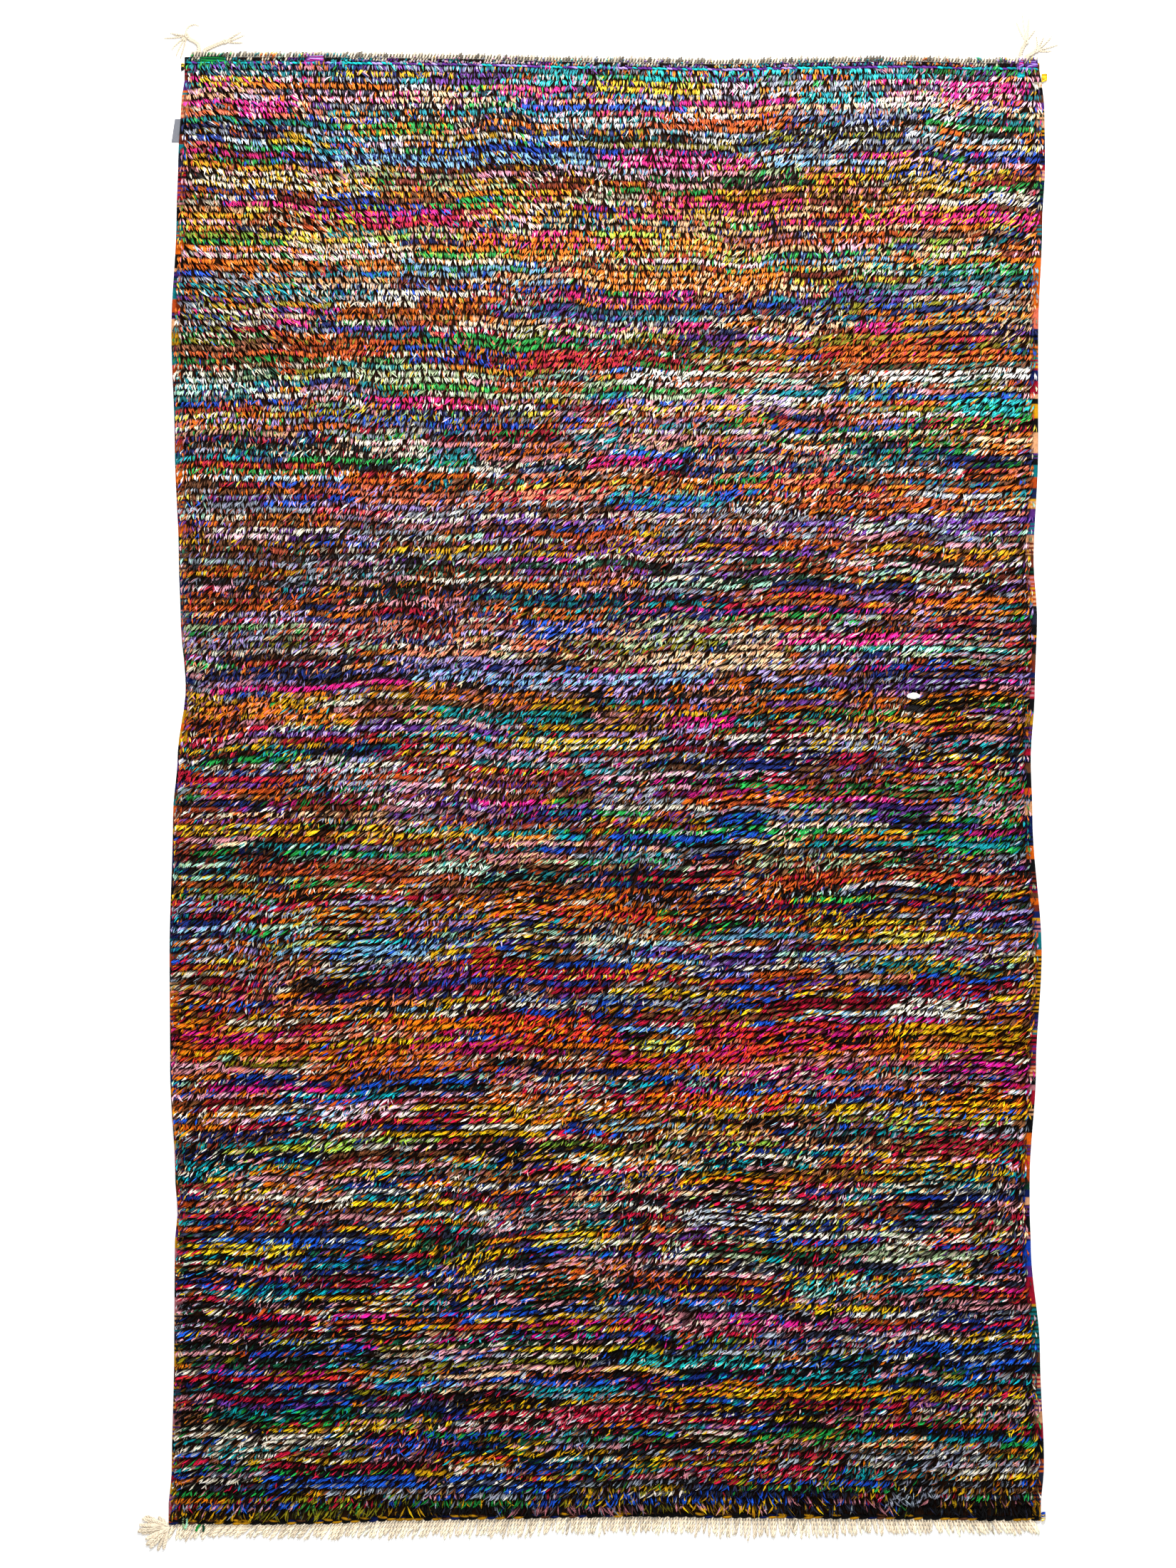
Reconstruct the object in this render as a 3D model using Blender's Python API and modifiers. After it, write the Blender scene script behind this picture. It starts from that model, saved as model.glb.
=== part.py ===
"""Azilal rug: a hand-knotted wool shag rug with flat-woven edges, laid out flat.

Metres, +Z up. The origin is on the underside, at the middle of the woven cloth. +Y runs along the
warps, towards the corded end with the plaited corner tassels, and -Y towards the end with the cut fringe.
"""

import math
import random
from collections import namedtuple

import bmesh
import bpy
from mathutils import Vector

# The woven cloth
WIDTH = 1.50
LENGTH = 2.54
WEAVE_THICKNESS = 0.004
SELVEDGE_WIDTH = 0.014
HEM_WIDTH = 0.009
SEAT_GAP = 0.0003

# How far each side stands out from a straight line, by its share of the length from the fringed end
SideRow = namedtuple("SideRow", "share left right")
SIDE_ROWS = (
    SideRow(0.000, 0.014, 0.003),
    SideRow(0.040, 0.006, 0.011),
    SideRow(0.116, 0.002, 0.004),
    SideRow(0.190, 0.001, -0.012),
    SideRow(0.213, -0.004, -0.014),
    SideRow(0.235, 0.000, -0.014),
    SideRow(0.310, 0.009, -0.003),
    SideRow(0.390, 0.010, 0.007),
    SideRow(0.484, 0.004, -0.009),
    SideRow(0.523, -0.004, -0.012),
    SideRow(0.570, -0.018, -0.005),
    SideRow(0.620, -0.009, -0.001),
    SideRow(0.659, -0.006, -0.007),
    SideRow(0.736, 0.001, 0.001),
    SideRow(0.814, 0.007, 0.001),
    SideRow(0.891, -0.002, 0.008),
    SideRow(0.930, -0.005, 0.013),
    SideRow(0.969, -0.010, 0.012),
    SideRow(0.983, -0.016, 0.008),
    SideRow(1.000, -0.020, 0.002),
)

# How far each end stands out, by its share of the width from the left side
EndRow = namedtuple("EndRow", "share top bottom")
END_ROWS = (
    EndRow(0.00, 0.003, 0.008),
    EndRow(0.15, 0.002, 0.009),
    EndRow(0.30, 0.000, 0.001),
    EndRow(0.43, -0.005, -0.001),
    EndRow(0.52, -0.007, -0.005),
    EndRow(0.61, -0.010, -0.003),
    EndRow(0.75, -0.006, -0.001),
    EndRow(0.88, -0.004, 0.000),
    EndRow(0.95, -0.010, 0.003),
    EndRow(1.00, -0.008, 0.005),
)

# The knotted pile, as ridges that run across the width, and the locks that hang over its rim
PILE_COLUMNS = 14
PILE_ROWS = 116
CELL_UNEVENNESS = 0.3
PILE_SLOPE = 0.004
PILE_RIM_HEIGHT = 0.012
PILE_VALLEY_HEIGHT = 0.0145
PILE_CREST_HEIGHT = 0.0200
PILE_UNEVENNESS = 0.0020
RIDGE_WANDER = 0.003
END_CUTS = 7
SIDE_CUTS = 1
END_LOCK_EVERY = 4
SIDE_LOCK_EVERY = 9
LOCK_REACH = (0.006, 0.0095)
LOCK_TIP_SHARE = 0.35
LOCK_UNDERSIDE = 0.0052
LOCK_TOP = 0.0085

# The cord of bound warp loops along the top end
CORD_START = 0.009
CORD_END = 0.995
CORD_LUMPS = 64
CORD_WIDTH = 0.010
CORD_SHOULDER = 0.0030
CORD_CREST = 0.0064
CORD_DIP = 0.0044
CORD_SLANT = 0.006

# The cut fringe of warp ends along the bottom end
FRINGE_START = 0.008
FRINGE_END = 0.988
STRANDS = 140
STRAND_STEPS = 2
STRAND_SHARE = 0.68
STRAND_TIP_SHARE = 0.55
STRAND_HEIGHT = 0.0034
STRAND_TIP_HEIGHT = 0.0018
STRIP_WIDTH = 0.005
STRAND_LENGTH_SPREAD = 0.12
STRAND_SWAY = 2.0
FringeRow = namedtuple("FringeRow", "share slant length")
FRINGE_ROWS = (
    FringeRow(0.00, -12, 0.026),
    FringeRow(0.07, -40, 0.028),
    FringeRow(0.15, -30, 0.026),
    FringeRow(0.25, -20, 0.029),
    FringeRow(0.40, -12, 0.028),
    FringeRow(0.55, -8, 0.025),
    FringeRow(0.66, 2, 0.030),
    FringeRow(0.74, 6, 0.029),
    FringeRow(0.80, 10, 0.024),
    FringeRow(0.90, 22, 0.024),
    FringeRow(1.00, 33, 0.027),
)

# The corner tassels: a plaited tail from the cloth to a knot, and the loose yarns that leave the knot.
# Tail points are measured from the tail's root. Angles are in degrees, from +X towards +Y.
KNOT_SIDES = 16
KNOT_RADIUS = 0.0050
KNOT_HEIGHT = 0.0052
TAIL_STEP = 0.004
TAIL_FAT = 0.0032
TAIL_THIN = 0.0021
TAIL_FAT_HEIGHT = 0.0050
TAIL_THIN_HEIGHT = 0.0038
YARN_STEPS = 3
YARN_HALF_WIDTH = 0.0014
YARN_TIP_HALF_WIDTH = 0.0008
YARN_HEIGHT = 0.0026
YARN_TIP_HEIGHT = 0.0014
Yarn = namedtuple("Yarn", "angle length curl")
Tassel = namedtuple("Tassel", "name end share tail yarns")
TASSELS = (
    Tassel(
        "tassel_top_left_outer",
        "top",
        0.0167,
        ((0.0, 0.0), (0.0, 0.012), (-0.007, 0.019), (-0.015, 0.023), (-0.021, 0.029)),
        (
            Yarn(108, 0.034, -150),
            Yarn(169, 0.026, 4),
            Yarn(191, 0.037, -10),
            Yarn(214, 0.033, 20),
            Yarn(236, 0.037, 14),
            Yarn(258, 0.038, -8),
        ),
    ),
    Tassel(
        "tassel_top_left_inner",
        "top",
        0.0240,
        ((0.0, 0.0), (0.0, 0.004), (0.010, 0.009), (0.024, 0.015), (0.035, 0.019)),
        (Yarn(-11, 0.028, 16), Yarn(11, 0.034, 18), Yarn(34, 0.030, -6)),
    ),
    Tassel(
        "tassel_top_right_inner",
        "top",
        0.9775,
        ((0.0, 0.0), (0.0, 0.007), (0.003, 0.017), (0.010, 0.029)),
        (
            Yarn(56, 0.024, -8),
            Yarn(79, 0.036, 8),
            Yarn(101, 0.044, -6),
            Yarn(124, 0.036, -16),
        ),
    ),
    Tassel(
        "tassel_top_right_outer",
        "top",
        0.9845,
        ((0.0, 0.0), (0.0, 0.003), (0.009, 0.008), (0.017, 0.014)),
        (
            Yarn(-11, 0.024, 20),
            Yarn(11, 0.036, 8),
            Yarn(34, 0.034, 18),
            Yarn(56, 0.024, 10),
            Yarn(79, 0.022, 24),
        ),
    ),
    Tassel(
        "tassel_bottom_left",
        "bottom",
        0.001,
        ((0.0, 0.0),),
        (
            Yarn(146, 0.027, -10),
            Yarn(169, 0.041, 18),
            Yarn(191, 0.055, 14),
            Yarn(214, 0.046, 8),
            Yarn(236, 0.045, 12),
            Yarn(259, 0.038, -14),
        ),
    ),
)

# The folded ribbon label that is sewn to the left selvedge
LABEL_START = 0.942
LABEL_END = 0.958
LABEL_REACH_LOW = 0.0135
LABEL_REACH_HIGH = 0.0095
LABEL_CLOTH = 0.0005
LABEL_LAYERS_APART = 0.0004
LABEL_CELLS = 6
LABEL_FOLD_STEPS = 4

# The small yarn knots that finish three corners of the selvedges
CornerKnot = namedtuple("CornerKnot", "name across along out depth length height")
CORNER_KNOTS = (
    CornerKnot("knot_top_left", 0.0, 0.9935, -1, 0.005, 0.012, 0.008),
    CornerKnot("knot_top_right", 1.0, 0.9900, 1, 0.007, 0.011, 0.009),
    CornerKnot("knot_bottom_right", 1.0, 0.0030, 1, 0.007, 0.016, 0.009),
)
CORNER_KNOT_RINGS = 6
CORNER_KNOT_SIDES = 10

# Colours in linear RGB
WOOL_MIXED = (0.17, 0.10, 0.08)
WOOL_NATURAL = (0.78, 0.68, 0.52)
WOOL_YELLOW = (0.80, 0.42, 0.02)
WOOL_BLACK = (0.02, 0.02, 0.03)
RIBBON_GREY = (0.28, 0.28, 0.29)
WOOL_ROUGHNESS = 0.9
RIBBON_ROUGHNESS = 0.6

SEED = 41


def mix(low, high, t):
    return low + (high - low) * t


def stations(cells, border, span, rng):
    """Shares of a span: its edge, the flat border, the pile's slope, and uneven cells between."""
    first = (border + PILE_SLOPE) / span
    sizes = [rng.uniform(1 - CELL_UNEVENNESS, 1 + CELL_UNEVENNESS) for _ in range(cells)]
    inner = [first]
    for size in sizes:
        inner.append(inner[-1] + (1 - 2 * first) * size / sum(sizes))
    return [0.0, border / span, *inner, 1 - border / span, 1.0]


ACROSS = stations(PILE_COLUMNS, SELVEDGE_WIDTH, WIDTH, random.Random(SEED))
ALONG = stations(PILE_ROWS, HEM_WIDTH, LENGTH, random.Random(SEED + 1))


def eased(table, column, share):
    """A table's column at this share, passing smoothly from row to row."""
    for low, high in zip(table, table[1:]):
        if share <= high.share:
            t = (share - low.share) / (high.share - low.share)
            return mix(getattr(low, column), getattr(high, column), t * t * (3 - 2 * t))
    return getattr(table[-1], column)


def outline(table, column, share, lines):
    """A table's column at this share, straight between the cloth's grid lines, as its walls are."""
    for low, high in zip(lines, lines[1:]):
        if share <= high:
            t = (share - low) / (high - low)
            return mix(eased(table, column, low), eased(table, column, high), t)
    return eased(table, column, 1.0)


def place(across, along):
    """The point on the surface at these shares of the cloth's width and length."""
    left = -WIDTH / 2 - outline(SIDE_ROWS, "left", along, ALONG)
    right = WIDTH / 2 + outline(SIDE_ROWS, "right", along, ALONG)
    bottom = -LENGTH / 2 - outline(END_ROWS, "bottom", across, ACROSS)
    top = LENGTH / 2 + outline(END_ROWS, "top", across, ACROSS)
    return Vector((mix(left, right, across), mix(bottom, top, along), 0.0))


def heading(angle):
    return Vector((math.cos(angle), math.sin(angle), 0.0))


def material(name, colour, roughness):
    made = bpy.data.materials.new(name)
    made.use_nodes = True
    shader = made.node_tree.nodes["Principled BSDF"]
    shader.inputs["Base Color"].default_value = (*colour, 1.0)
    shader.inputs["Roughness"].default_value = roughness
    shader.inputs["Metallic"].default_value = 0.0
    made.diffuse_color = (*colour, 1.0)
    return made


def add_object(name, bm, finish, collection):
    """Turns the bmesh into a named object with its faces pointing out."""
    bmesh.ops.recalc_face_normals(bm, faces=bm.faces)
    mesh = bpy.data.meshes.new(name)
    bm.to_mesh(mesh)
    bm.free()
    mesh.materials.append(finish)
    made = bpy.data.objects.new(name, mesh)
    collection.objects.link(made)
    return made


def new_grid(columns, rows):
    """A flat grid, and its vertices by column and row."""
    bm = bmesh.new()
    bmesh.ops.create_grid(bm, x_segments=columns, y_segments=rows, size=0.5)
    found = {(round((v.co.x + 0.5) * columns), round((v.co.y + 0.5) * rows)): v for v in bm.verts}
    return bm, found


def close_underneath(bm):
    """Drops a wall from the open edge to the surface and closes it with a flat face."""
    open_edges = [edge for edge in bm.edges if edge.is_boundary]
    wall = bmesh.ops.extrude_edge_only(bm, edges=open_edges)["geom"]
    for part in wall:
        if isinstance(part, bmesh.types.BMVert):
            part.co.z = 0.0
    open_edges = [edge for edge in bm.edges if edge.is_boundary]
    underside = bmesh.ops.contextual_create(bm, geom=open_edges)["faces"]
    bmesh.ops.triangulate(bm, faces=underside, ngon_method="BEAUTY")
    bm.normal_update()


def extrude_along(bm, face, points, half_widths, heights):
    """Draws an upright four-sided face out along points on the surface, resting on it."""
    for i, point in enumerate(points):
        face.normal_update()
        left = Vector((-face.normal.y, face.normal.x, 0.0))
        before = face.calc_center_median()
        face = bmesh.ops.extrude_discrete_faces(bm, faces=[face])["faces"][0]
        ahead = points[min(i + 1, len(points) - 1)]
        behind = points[i - 1] if i else Vector((before.x, before.y, 0.0))
        direction = (ahead - behind).normalized()
        across = Vector((-direction.y, direction.x, 0.0))
        for vert in face.verts:
            offset = vert.co - before
            side = 1.0 if offset.dot(left) > 0 else -1.0
            height = heights[i] if offset.z > 0 else 0.0
            vert.co = point + across * side * half_widths[i] + Vector((0.0, 0.0, height))


def pull_lock(bm, face, outward, rng):
    """Draws one face of the pile's rim out into a lock that tapers over the flat border."""
    lock = bmesh.ops.extrude_discrete_faces(bm, faces=[face])["faces"][0]
    centre = lock.calc_center_median()
    reach = rng.uniform(*LOCK_REACH)
    sideways = Vector((-outward.y, outward.x, 0.0))
    for vert in lock.verts:
        offset = vert.co - centre
        height = LOCK_TOP if offset.z > 0 else LOCK_UNDERSIDE
        tip = centre + outward * reach + sideways * offset.dot(sideways) * LOCK_TIP_SHARE
        vert.co = Vector((tip.x, tip.y, height))


def rim_edges(bm, grid, columns, rows):
    """The edges at the foot and the top of the pile's slope, along the ends and along the sides."""
    ends = [
        bm.edges.get((grid[column, row], grid[column + 1, row]))
        for row in (1, 2, rows - 2, rows - 1)
        for column in range(2, columns - 2)
    ]
    sides = [
        bm.edges.get((grid[column, row], grid[column, row + 1]))
        for column in (1, 2, columns - 2, columns - 1)
        for row in range(2, rows - 2)
    ]
    return ends, sides


def slope_faces(bm):
    """The four-sided faces of the pile's slope, between its foot and its rim."""
    slope = {round(WEAVE_THICKNESS, 5), round(PILE_RIM_HEIGHT, 5)}
    return [
        face
        for face in bm.faces
        if len(face.verts) == 4 and {round(vert.co.z, 5) for vert in face.verts} == slope
    ]


def build_rug(finish, collection):
    """The cloth: flat selvedges and hems round a lumpy slab of pile, with locks at its rim."""
    rng = random.Random(SEED + 2)
    columns, rows = len(ACROSS) - 1, len(ALONG) - 1
    bm, grid = new_grid(columns, rows)
    for (column, row), vert in grid.items():
        vert.co = place(ACROSS[column], ALONG[row])
        ring = min(column, row, columns - column, rows - row)
        if ring < 2:
            vert.co.z = WEAVE_THICKNESS
        elif ring == 2:
            vert.co.z = PILE_RIM_HEIGHT
        else:
            height = PILE_CREST_HEIGHT if row % 2 else PILE_VALLEY_HEIGHT
            vert.co.z = height + rng.uniform(-1, 1) * PILE_UNEVENNESS
            vert.co.y += rng.uniform(-1, 1) * RIDGE_WANDER
    ends, sides = rim_edges(bm, grid, columns, rows)
    bmesh.ops.subdivide_edges(bm, edges=ends, cuts=END_CUTS, use_grid_fill=True)
    bmesh.ops.subdivide_edges(bm, edges=sides, cuts=SIDE_CUTS, use_grid_fill=True)
    bm.normal_update()

    slopes = slope_faces(bm)
    chosen = []
    for outward, every in (
        (Vector((-1.0, 0.0, 0.0)), SIDE_LOCK_EVERY),
        (Vector((1.0, 0.0, 0.0)), SIDE_LOCK_EVERY),
        (Vector((0.0, -1.0, 0.0)), END_LOCK_EVERY),
        (Vector((0.0, 1.0, 0.0)), END_LOCK_EVERY),
    ):
        along = Vector((-outward.y, outward.x, 0.0))
        run = [face for face in slopes if face.normal.dot(outward) > abs(face.normal.z)]
        run.sort(key=lambda face: face.calc_center_median().dot(along))
        chosen += [(face, outward) for face in run[1:-1:every]]
    for face, outward in chosen:
        pull_lock(bm, face, outward, rng)
    close_underneath(bm)
    return add_object("rug", bm, finish, collection)


def build_top_cord(finish, collection):
    """The cord that the warp loops are bound over, seated against the cloth's top end."""
    columns = 2 * CORD_LUMPS
    bm, grid = new_grid(columns, 2)
    for (column, row), vert in grid.items():
        share = mix(CORD_START, CORD_END, column / columns)
        vert.co = place(share, 1.0) + Vector((0.0, SEAT_GAP + CORD_WIDTH * row / 2, CORD_SHOULDER))
        if row == 1:
            vert.co.z = CORD_CREST if column % 2 else CORD_DIP
        elif 0 < column < columns:
            vert.co.x += CORD_SLANT * (row - 1) * (1 if column % 2 else 0)
    close_underneath(bm)
    return add_object("top_cord", bm, finish, collection)


def build_fringe(finish, collection):
    """The cut warp ends, four-sided strands that stand apart but for a narrow strip at their roots."""
    rng = random.Random(SEED + 3)
    cells = 2 * STRANDS - 1
    bm, grid = new_grid(cells, 1)
    pitch = (FRINGE_END - FRINGE_START) / STRANDS
    for (column, row), vert in grid.items():
        side = 0.5 + STRAND_SHARE / 2 * (1 if column % 2 else -1)
        root = place(FRINGE_START + pitch * (column // 2 + side), 0.0)
        vert.co = root + Vector((0.0, -SEAT_GAP if row else -SEAT_GAP - STRIP_WIDTH, STRAND_HEIGHT))
    fronts = [bm.edges.get((grid[column, 0], grid[column + 1, 0])) for column in range(0, cells, 2)]
    close_underneath(bm)
    for i, edge in enumerate(fronts):
        front = next(face for face in edge.link_faces if abs(face.normal.z) < 0.5)
        share = (i + 0.5) / STRANDS
        slant = math.radians(eased(FRINGE_ROWS, "slant", share) + rng.uniform(-1, 1) * STRAND_SWAY)
        length = eased(FRINGE_ROWS, "length", share) * (1 + rng.uniform(-1, 1) * STRAND_LENGTH_SPREAD)
        half_width = STRAND_SHARE * pitch * WIDTH / 2 * math.cos(slant)
        root = front.calc_center_median()
        steps = [(step + 1) / STRAND_STEPS for step in range(STRAND_STEPS)]
        points = [Vector((root.x, root.y, 0.0)) + heading(slant - math.pi / 2) * length * t for t in steps]
        widths = [half_width * mix(1.0, STRAND_TIP_SHARE, t) for t in steps]
        heights = [mix(STRAND_HEIGHT, STRAND_TIP_HEIGHT, t) for t in steps]
        extrude_along(bm, front, points, widths, heights)
    return add_object("warp_fringe", bm, finish, collection)


def tail_points(path):
    """Points every TAIL_STEP or so along the tail, from the knot back to the root."""
    points = []
    for start, end in zip(path[::-1], path[-2::-1]):
        steps = max(1, round((end - start).length / TAIL_STEP))
        points += [start.lerp(end, (step + 1) / steps) for step in range(steps)]
    return points


def pull_yarn(bm, face, yarn):
    """Draws one side of the knot out into a loose yarn that curls as it goes."""
    start = math.atan2(face.normal.y, face.normal.x)
    turn = (math.radians(yarn.angle) - start + math.pi) % (2 * math.pi) - math.pi
    at = face.calc_center_median()
    at.z = 0.0
    points, widths, heights = [], [], []
    for step in range(YARN_STEPS):
        t = (step + 1) / YARN_STEPS
        angle = start + turn * t + math.radians(yarn.curl) * step / YARN_STEPS
        at = at + heading(angle) * yarn.length / YARN_STEPS
        points.append(at)
        widths.append(mix(YARN_HALF_WIDTH, YARN_TIP_HALF_WIDTH, t))
        heights.append(mix(YARN_HEIGHT, YARN_TIP_HEIGHT, t))
    extrude_along(bm, face, points, widths, heights)


def build_tassel(tassel, finish, collection):
    """A plaited tail, a knot, and the loose yarns fused into the knot."""
    if tassel.end == "top":
        root = place(tassel.share, 1.0) + Vector((0.0, 2 * SEAT_GAP + CORD_WIDTH, 0.0))
    else:
        root = place(tassel.share, 0.0) - Vector((0.0, SEAT_GAP + KNOT_RADIUS, 0.0))
    path = [root + Vector((*point, 0.0)) for point in tassel.tail]
    knot = path[-1]
    bm = bmesh.new()
    bmesh.ops.create_cone(
        bm, cap_ends=True, segments=KNOT_SIDES, radius1=KNOT_RADIUS, radius2=KNOT_RADIUS, depth=KNOT_HEIGHT
    )
    bmesh.ops.translate(bm, verts=bm.verts, vec=knot + Vector((0.0, 0.0, KNOT_HEIGHT / 2)))
    bm.normal_update()
    sides = [face for face in bm.faces if len(face.verts) == 4]

    def take_side(direction):
        found = max(sides, key=lambda face: face.normal.dot(direction))
        sides.remove(found)
        return found

    if len(path) > 1:
        tail_side = take_side((path[-2] - knot).normalized())
        points = [point for point in tail_points(path) if (point - knot).length > KNOT_RADIUS]
        fat = [(len(points) - i) % 2 == 0 for i in range(len(points))]
        widths = [TAIL_FAT if is_fat else TAIL_THIN for is_fat in fat]
        heights = [TAIL_FAT_HEIGHT if is_fat else TAIL_THIN_HEIGHT for is_fat in fat]
        extrude_along(bm, tail_side, points, widths, heights)
    for yarn in tassel.yarns:
        pull_yarn(bm, take_side(heading(math.radians(yarn.angle))), yarn)
    return add_object(tassel.name, bm, finish, collection)


def build_label(finish, collection):
    """A ribbon folded in two on the surface, its ends against the selvedge and its fold outwards."""
    radius = (LABEL_CLOTH + LABEL_LAYERS_APART) / 2
    low = LABEL_CLOTH / 2
    profile = [(0.0, low), (0.5, low), (1.0, low)]
    for step in range(1, LABEL_FOLD_STEPS):
        angle = math.pi * step / LABEL_FOLD_STEPS
        profile.append((1.0, low + radius * (1 - math.cos(angle)), radius * math.sin(angle)))
    profile += [(1.0, low + 2 * radius), (0.5, low + 2 * radius), (0.0, low + 2 * radius)]
    bm, grid = new_grid(len(profile) - 1, LABEL_CELLS)
    for (column, row), vert in grid.items():
        reach, height, *fold = profile[column]
        t = row / LABEL_CELLS
        edge = place(0.0, mix(LABEL_START, LABEL_END, t))
        out = 2 * SEAT_GAP + mix(LABEL_REACH_LOW, LABEL_REACH_HIGH, t) * reach + sum(fold)
        vert.co = edge + Vector((-out, 0.0, height))
    made = add_object("label", bm, finish, collection)
    solid = made.modifiers.new("cloth", "SOLIDIFY")
    solid.thickness = LABEL_CLOTH
    solid.offset = 0.0
    return made


def build_corner_knot(knot, finish, collection):
    """A small lump of tied yarn against the outer edge of a selvedge."""
    edge = place(knot.across, knot.along)
    size = Vector((knot.depth, knot.length, knot.height)) / 2
    bm = bmesh.new()
    bmesh.ops.create_uvsphere(bm, u_segments=CORNER_KNOT_SIDES, v_segments=CORNER_KNOT_RINGS, radius=1.0)
    bmesh.ops.scale(bm, verts=bm.verts, vec=size)
    centre = edge + Vector((knot.out * (size.x + 2 * SEAT_GAP), 0.0, size.z))
    bmesh.ops.translate(bm, verts=bm.verts, vec=centre)
    return add_object(knot.name, bm, finish, collection)


def main():
    for old in list(bpy.data.objects):
        bpy.data.objects.remove(old, do_unlink=True)
    collection = bpy.data.collections.new("azilal_rug")
    bpy.context.scene.collection.children.link(collection)
    mixed = material("mixed_wool", WOOL_MIXED, WOOL_ROUGHNESS)
    natural = material("natural_wool", WOOL_NATURAL, WOOL_ROUGHNESS)
    yellow = material("yellow_wool", WOOL_YELLOW, WOOL_ROUGHNESS)
    black = material("black_wool", WOOL_BLACK, WOOL_ROUGHNESS)
    ribbon = material("grey_ribbon", RIBBON_GREY, RIBBON_ROUGHNESS)
    build_rug(mixed, collection)
    build_top_cord(natural, collection)
    build_fringe(natural, collection)
    for tassel in TASSELS:
        build_tassel(tassel, natural, collection)
    build_label(ribbon, collection)
    for knot, finish in zip(CORNER_KNOTS, (black, yellow, yellow)):
        build_corner_knot(knot, finish, collection)


main()
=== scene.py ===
"""The azilal rug: knotted wool shag in mixed colours with flat-woven edges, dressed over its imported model.

Metres, +Z up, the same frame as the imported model. +Y runs along the warps to the corded end.
"""

import math
from collections import namedtuple

import bmesh
import bpy
import numpy as np
from bpy.props import FloatProperty, FloatVectorProperty, IntProperty, PointerProperty
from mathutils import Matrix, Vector


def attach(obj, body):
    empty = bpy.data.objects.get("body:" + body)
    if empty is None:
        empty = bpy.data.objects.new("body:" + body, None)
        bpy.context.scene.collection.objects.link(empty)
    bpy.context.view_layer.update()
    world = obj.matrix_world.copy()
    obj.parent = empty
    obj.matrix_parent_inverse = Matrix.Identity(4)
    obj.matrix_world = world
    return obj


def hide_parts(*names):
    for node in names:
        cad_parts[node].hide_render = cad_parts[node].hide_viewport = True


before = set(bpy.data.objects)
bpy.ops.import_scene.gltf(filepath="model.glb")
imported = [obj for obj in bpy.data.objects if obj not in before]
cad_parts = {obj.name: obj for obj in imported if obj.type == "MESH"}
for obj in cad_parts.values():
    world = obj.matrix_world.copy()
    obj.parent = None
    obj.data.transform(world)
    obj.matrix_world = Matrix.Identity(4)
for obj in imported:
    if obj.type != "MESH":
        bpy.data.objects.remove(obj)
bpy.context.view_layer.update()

bl_info = {
    "name": "Azilal rug",
    "version": (1, 0, 0),
    "blender": (4, 5, 0),
    "location": "3D View > Sidebar > Azilal Rug",
    "description": "Knots a wool shag rug with flat-woven edges, a cut fringe and corner tassels",
    "category": "Object",
}

WIDTH = 1.50
LENGTH = 2.54
UP = np.array((0.0, 0.0, 1.0))

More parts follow.
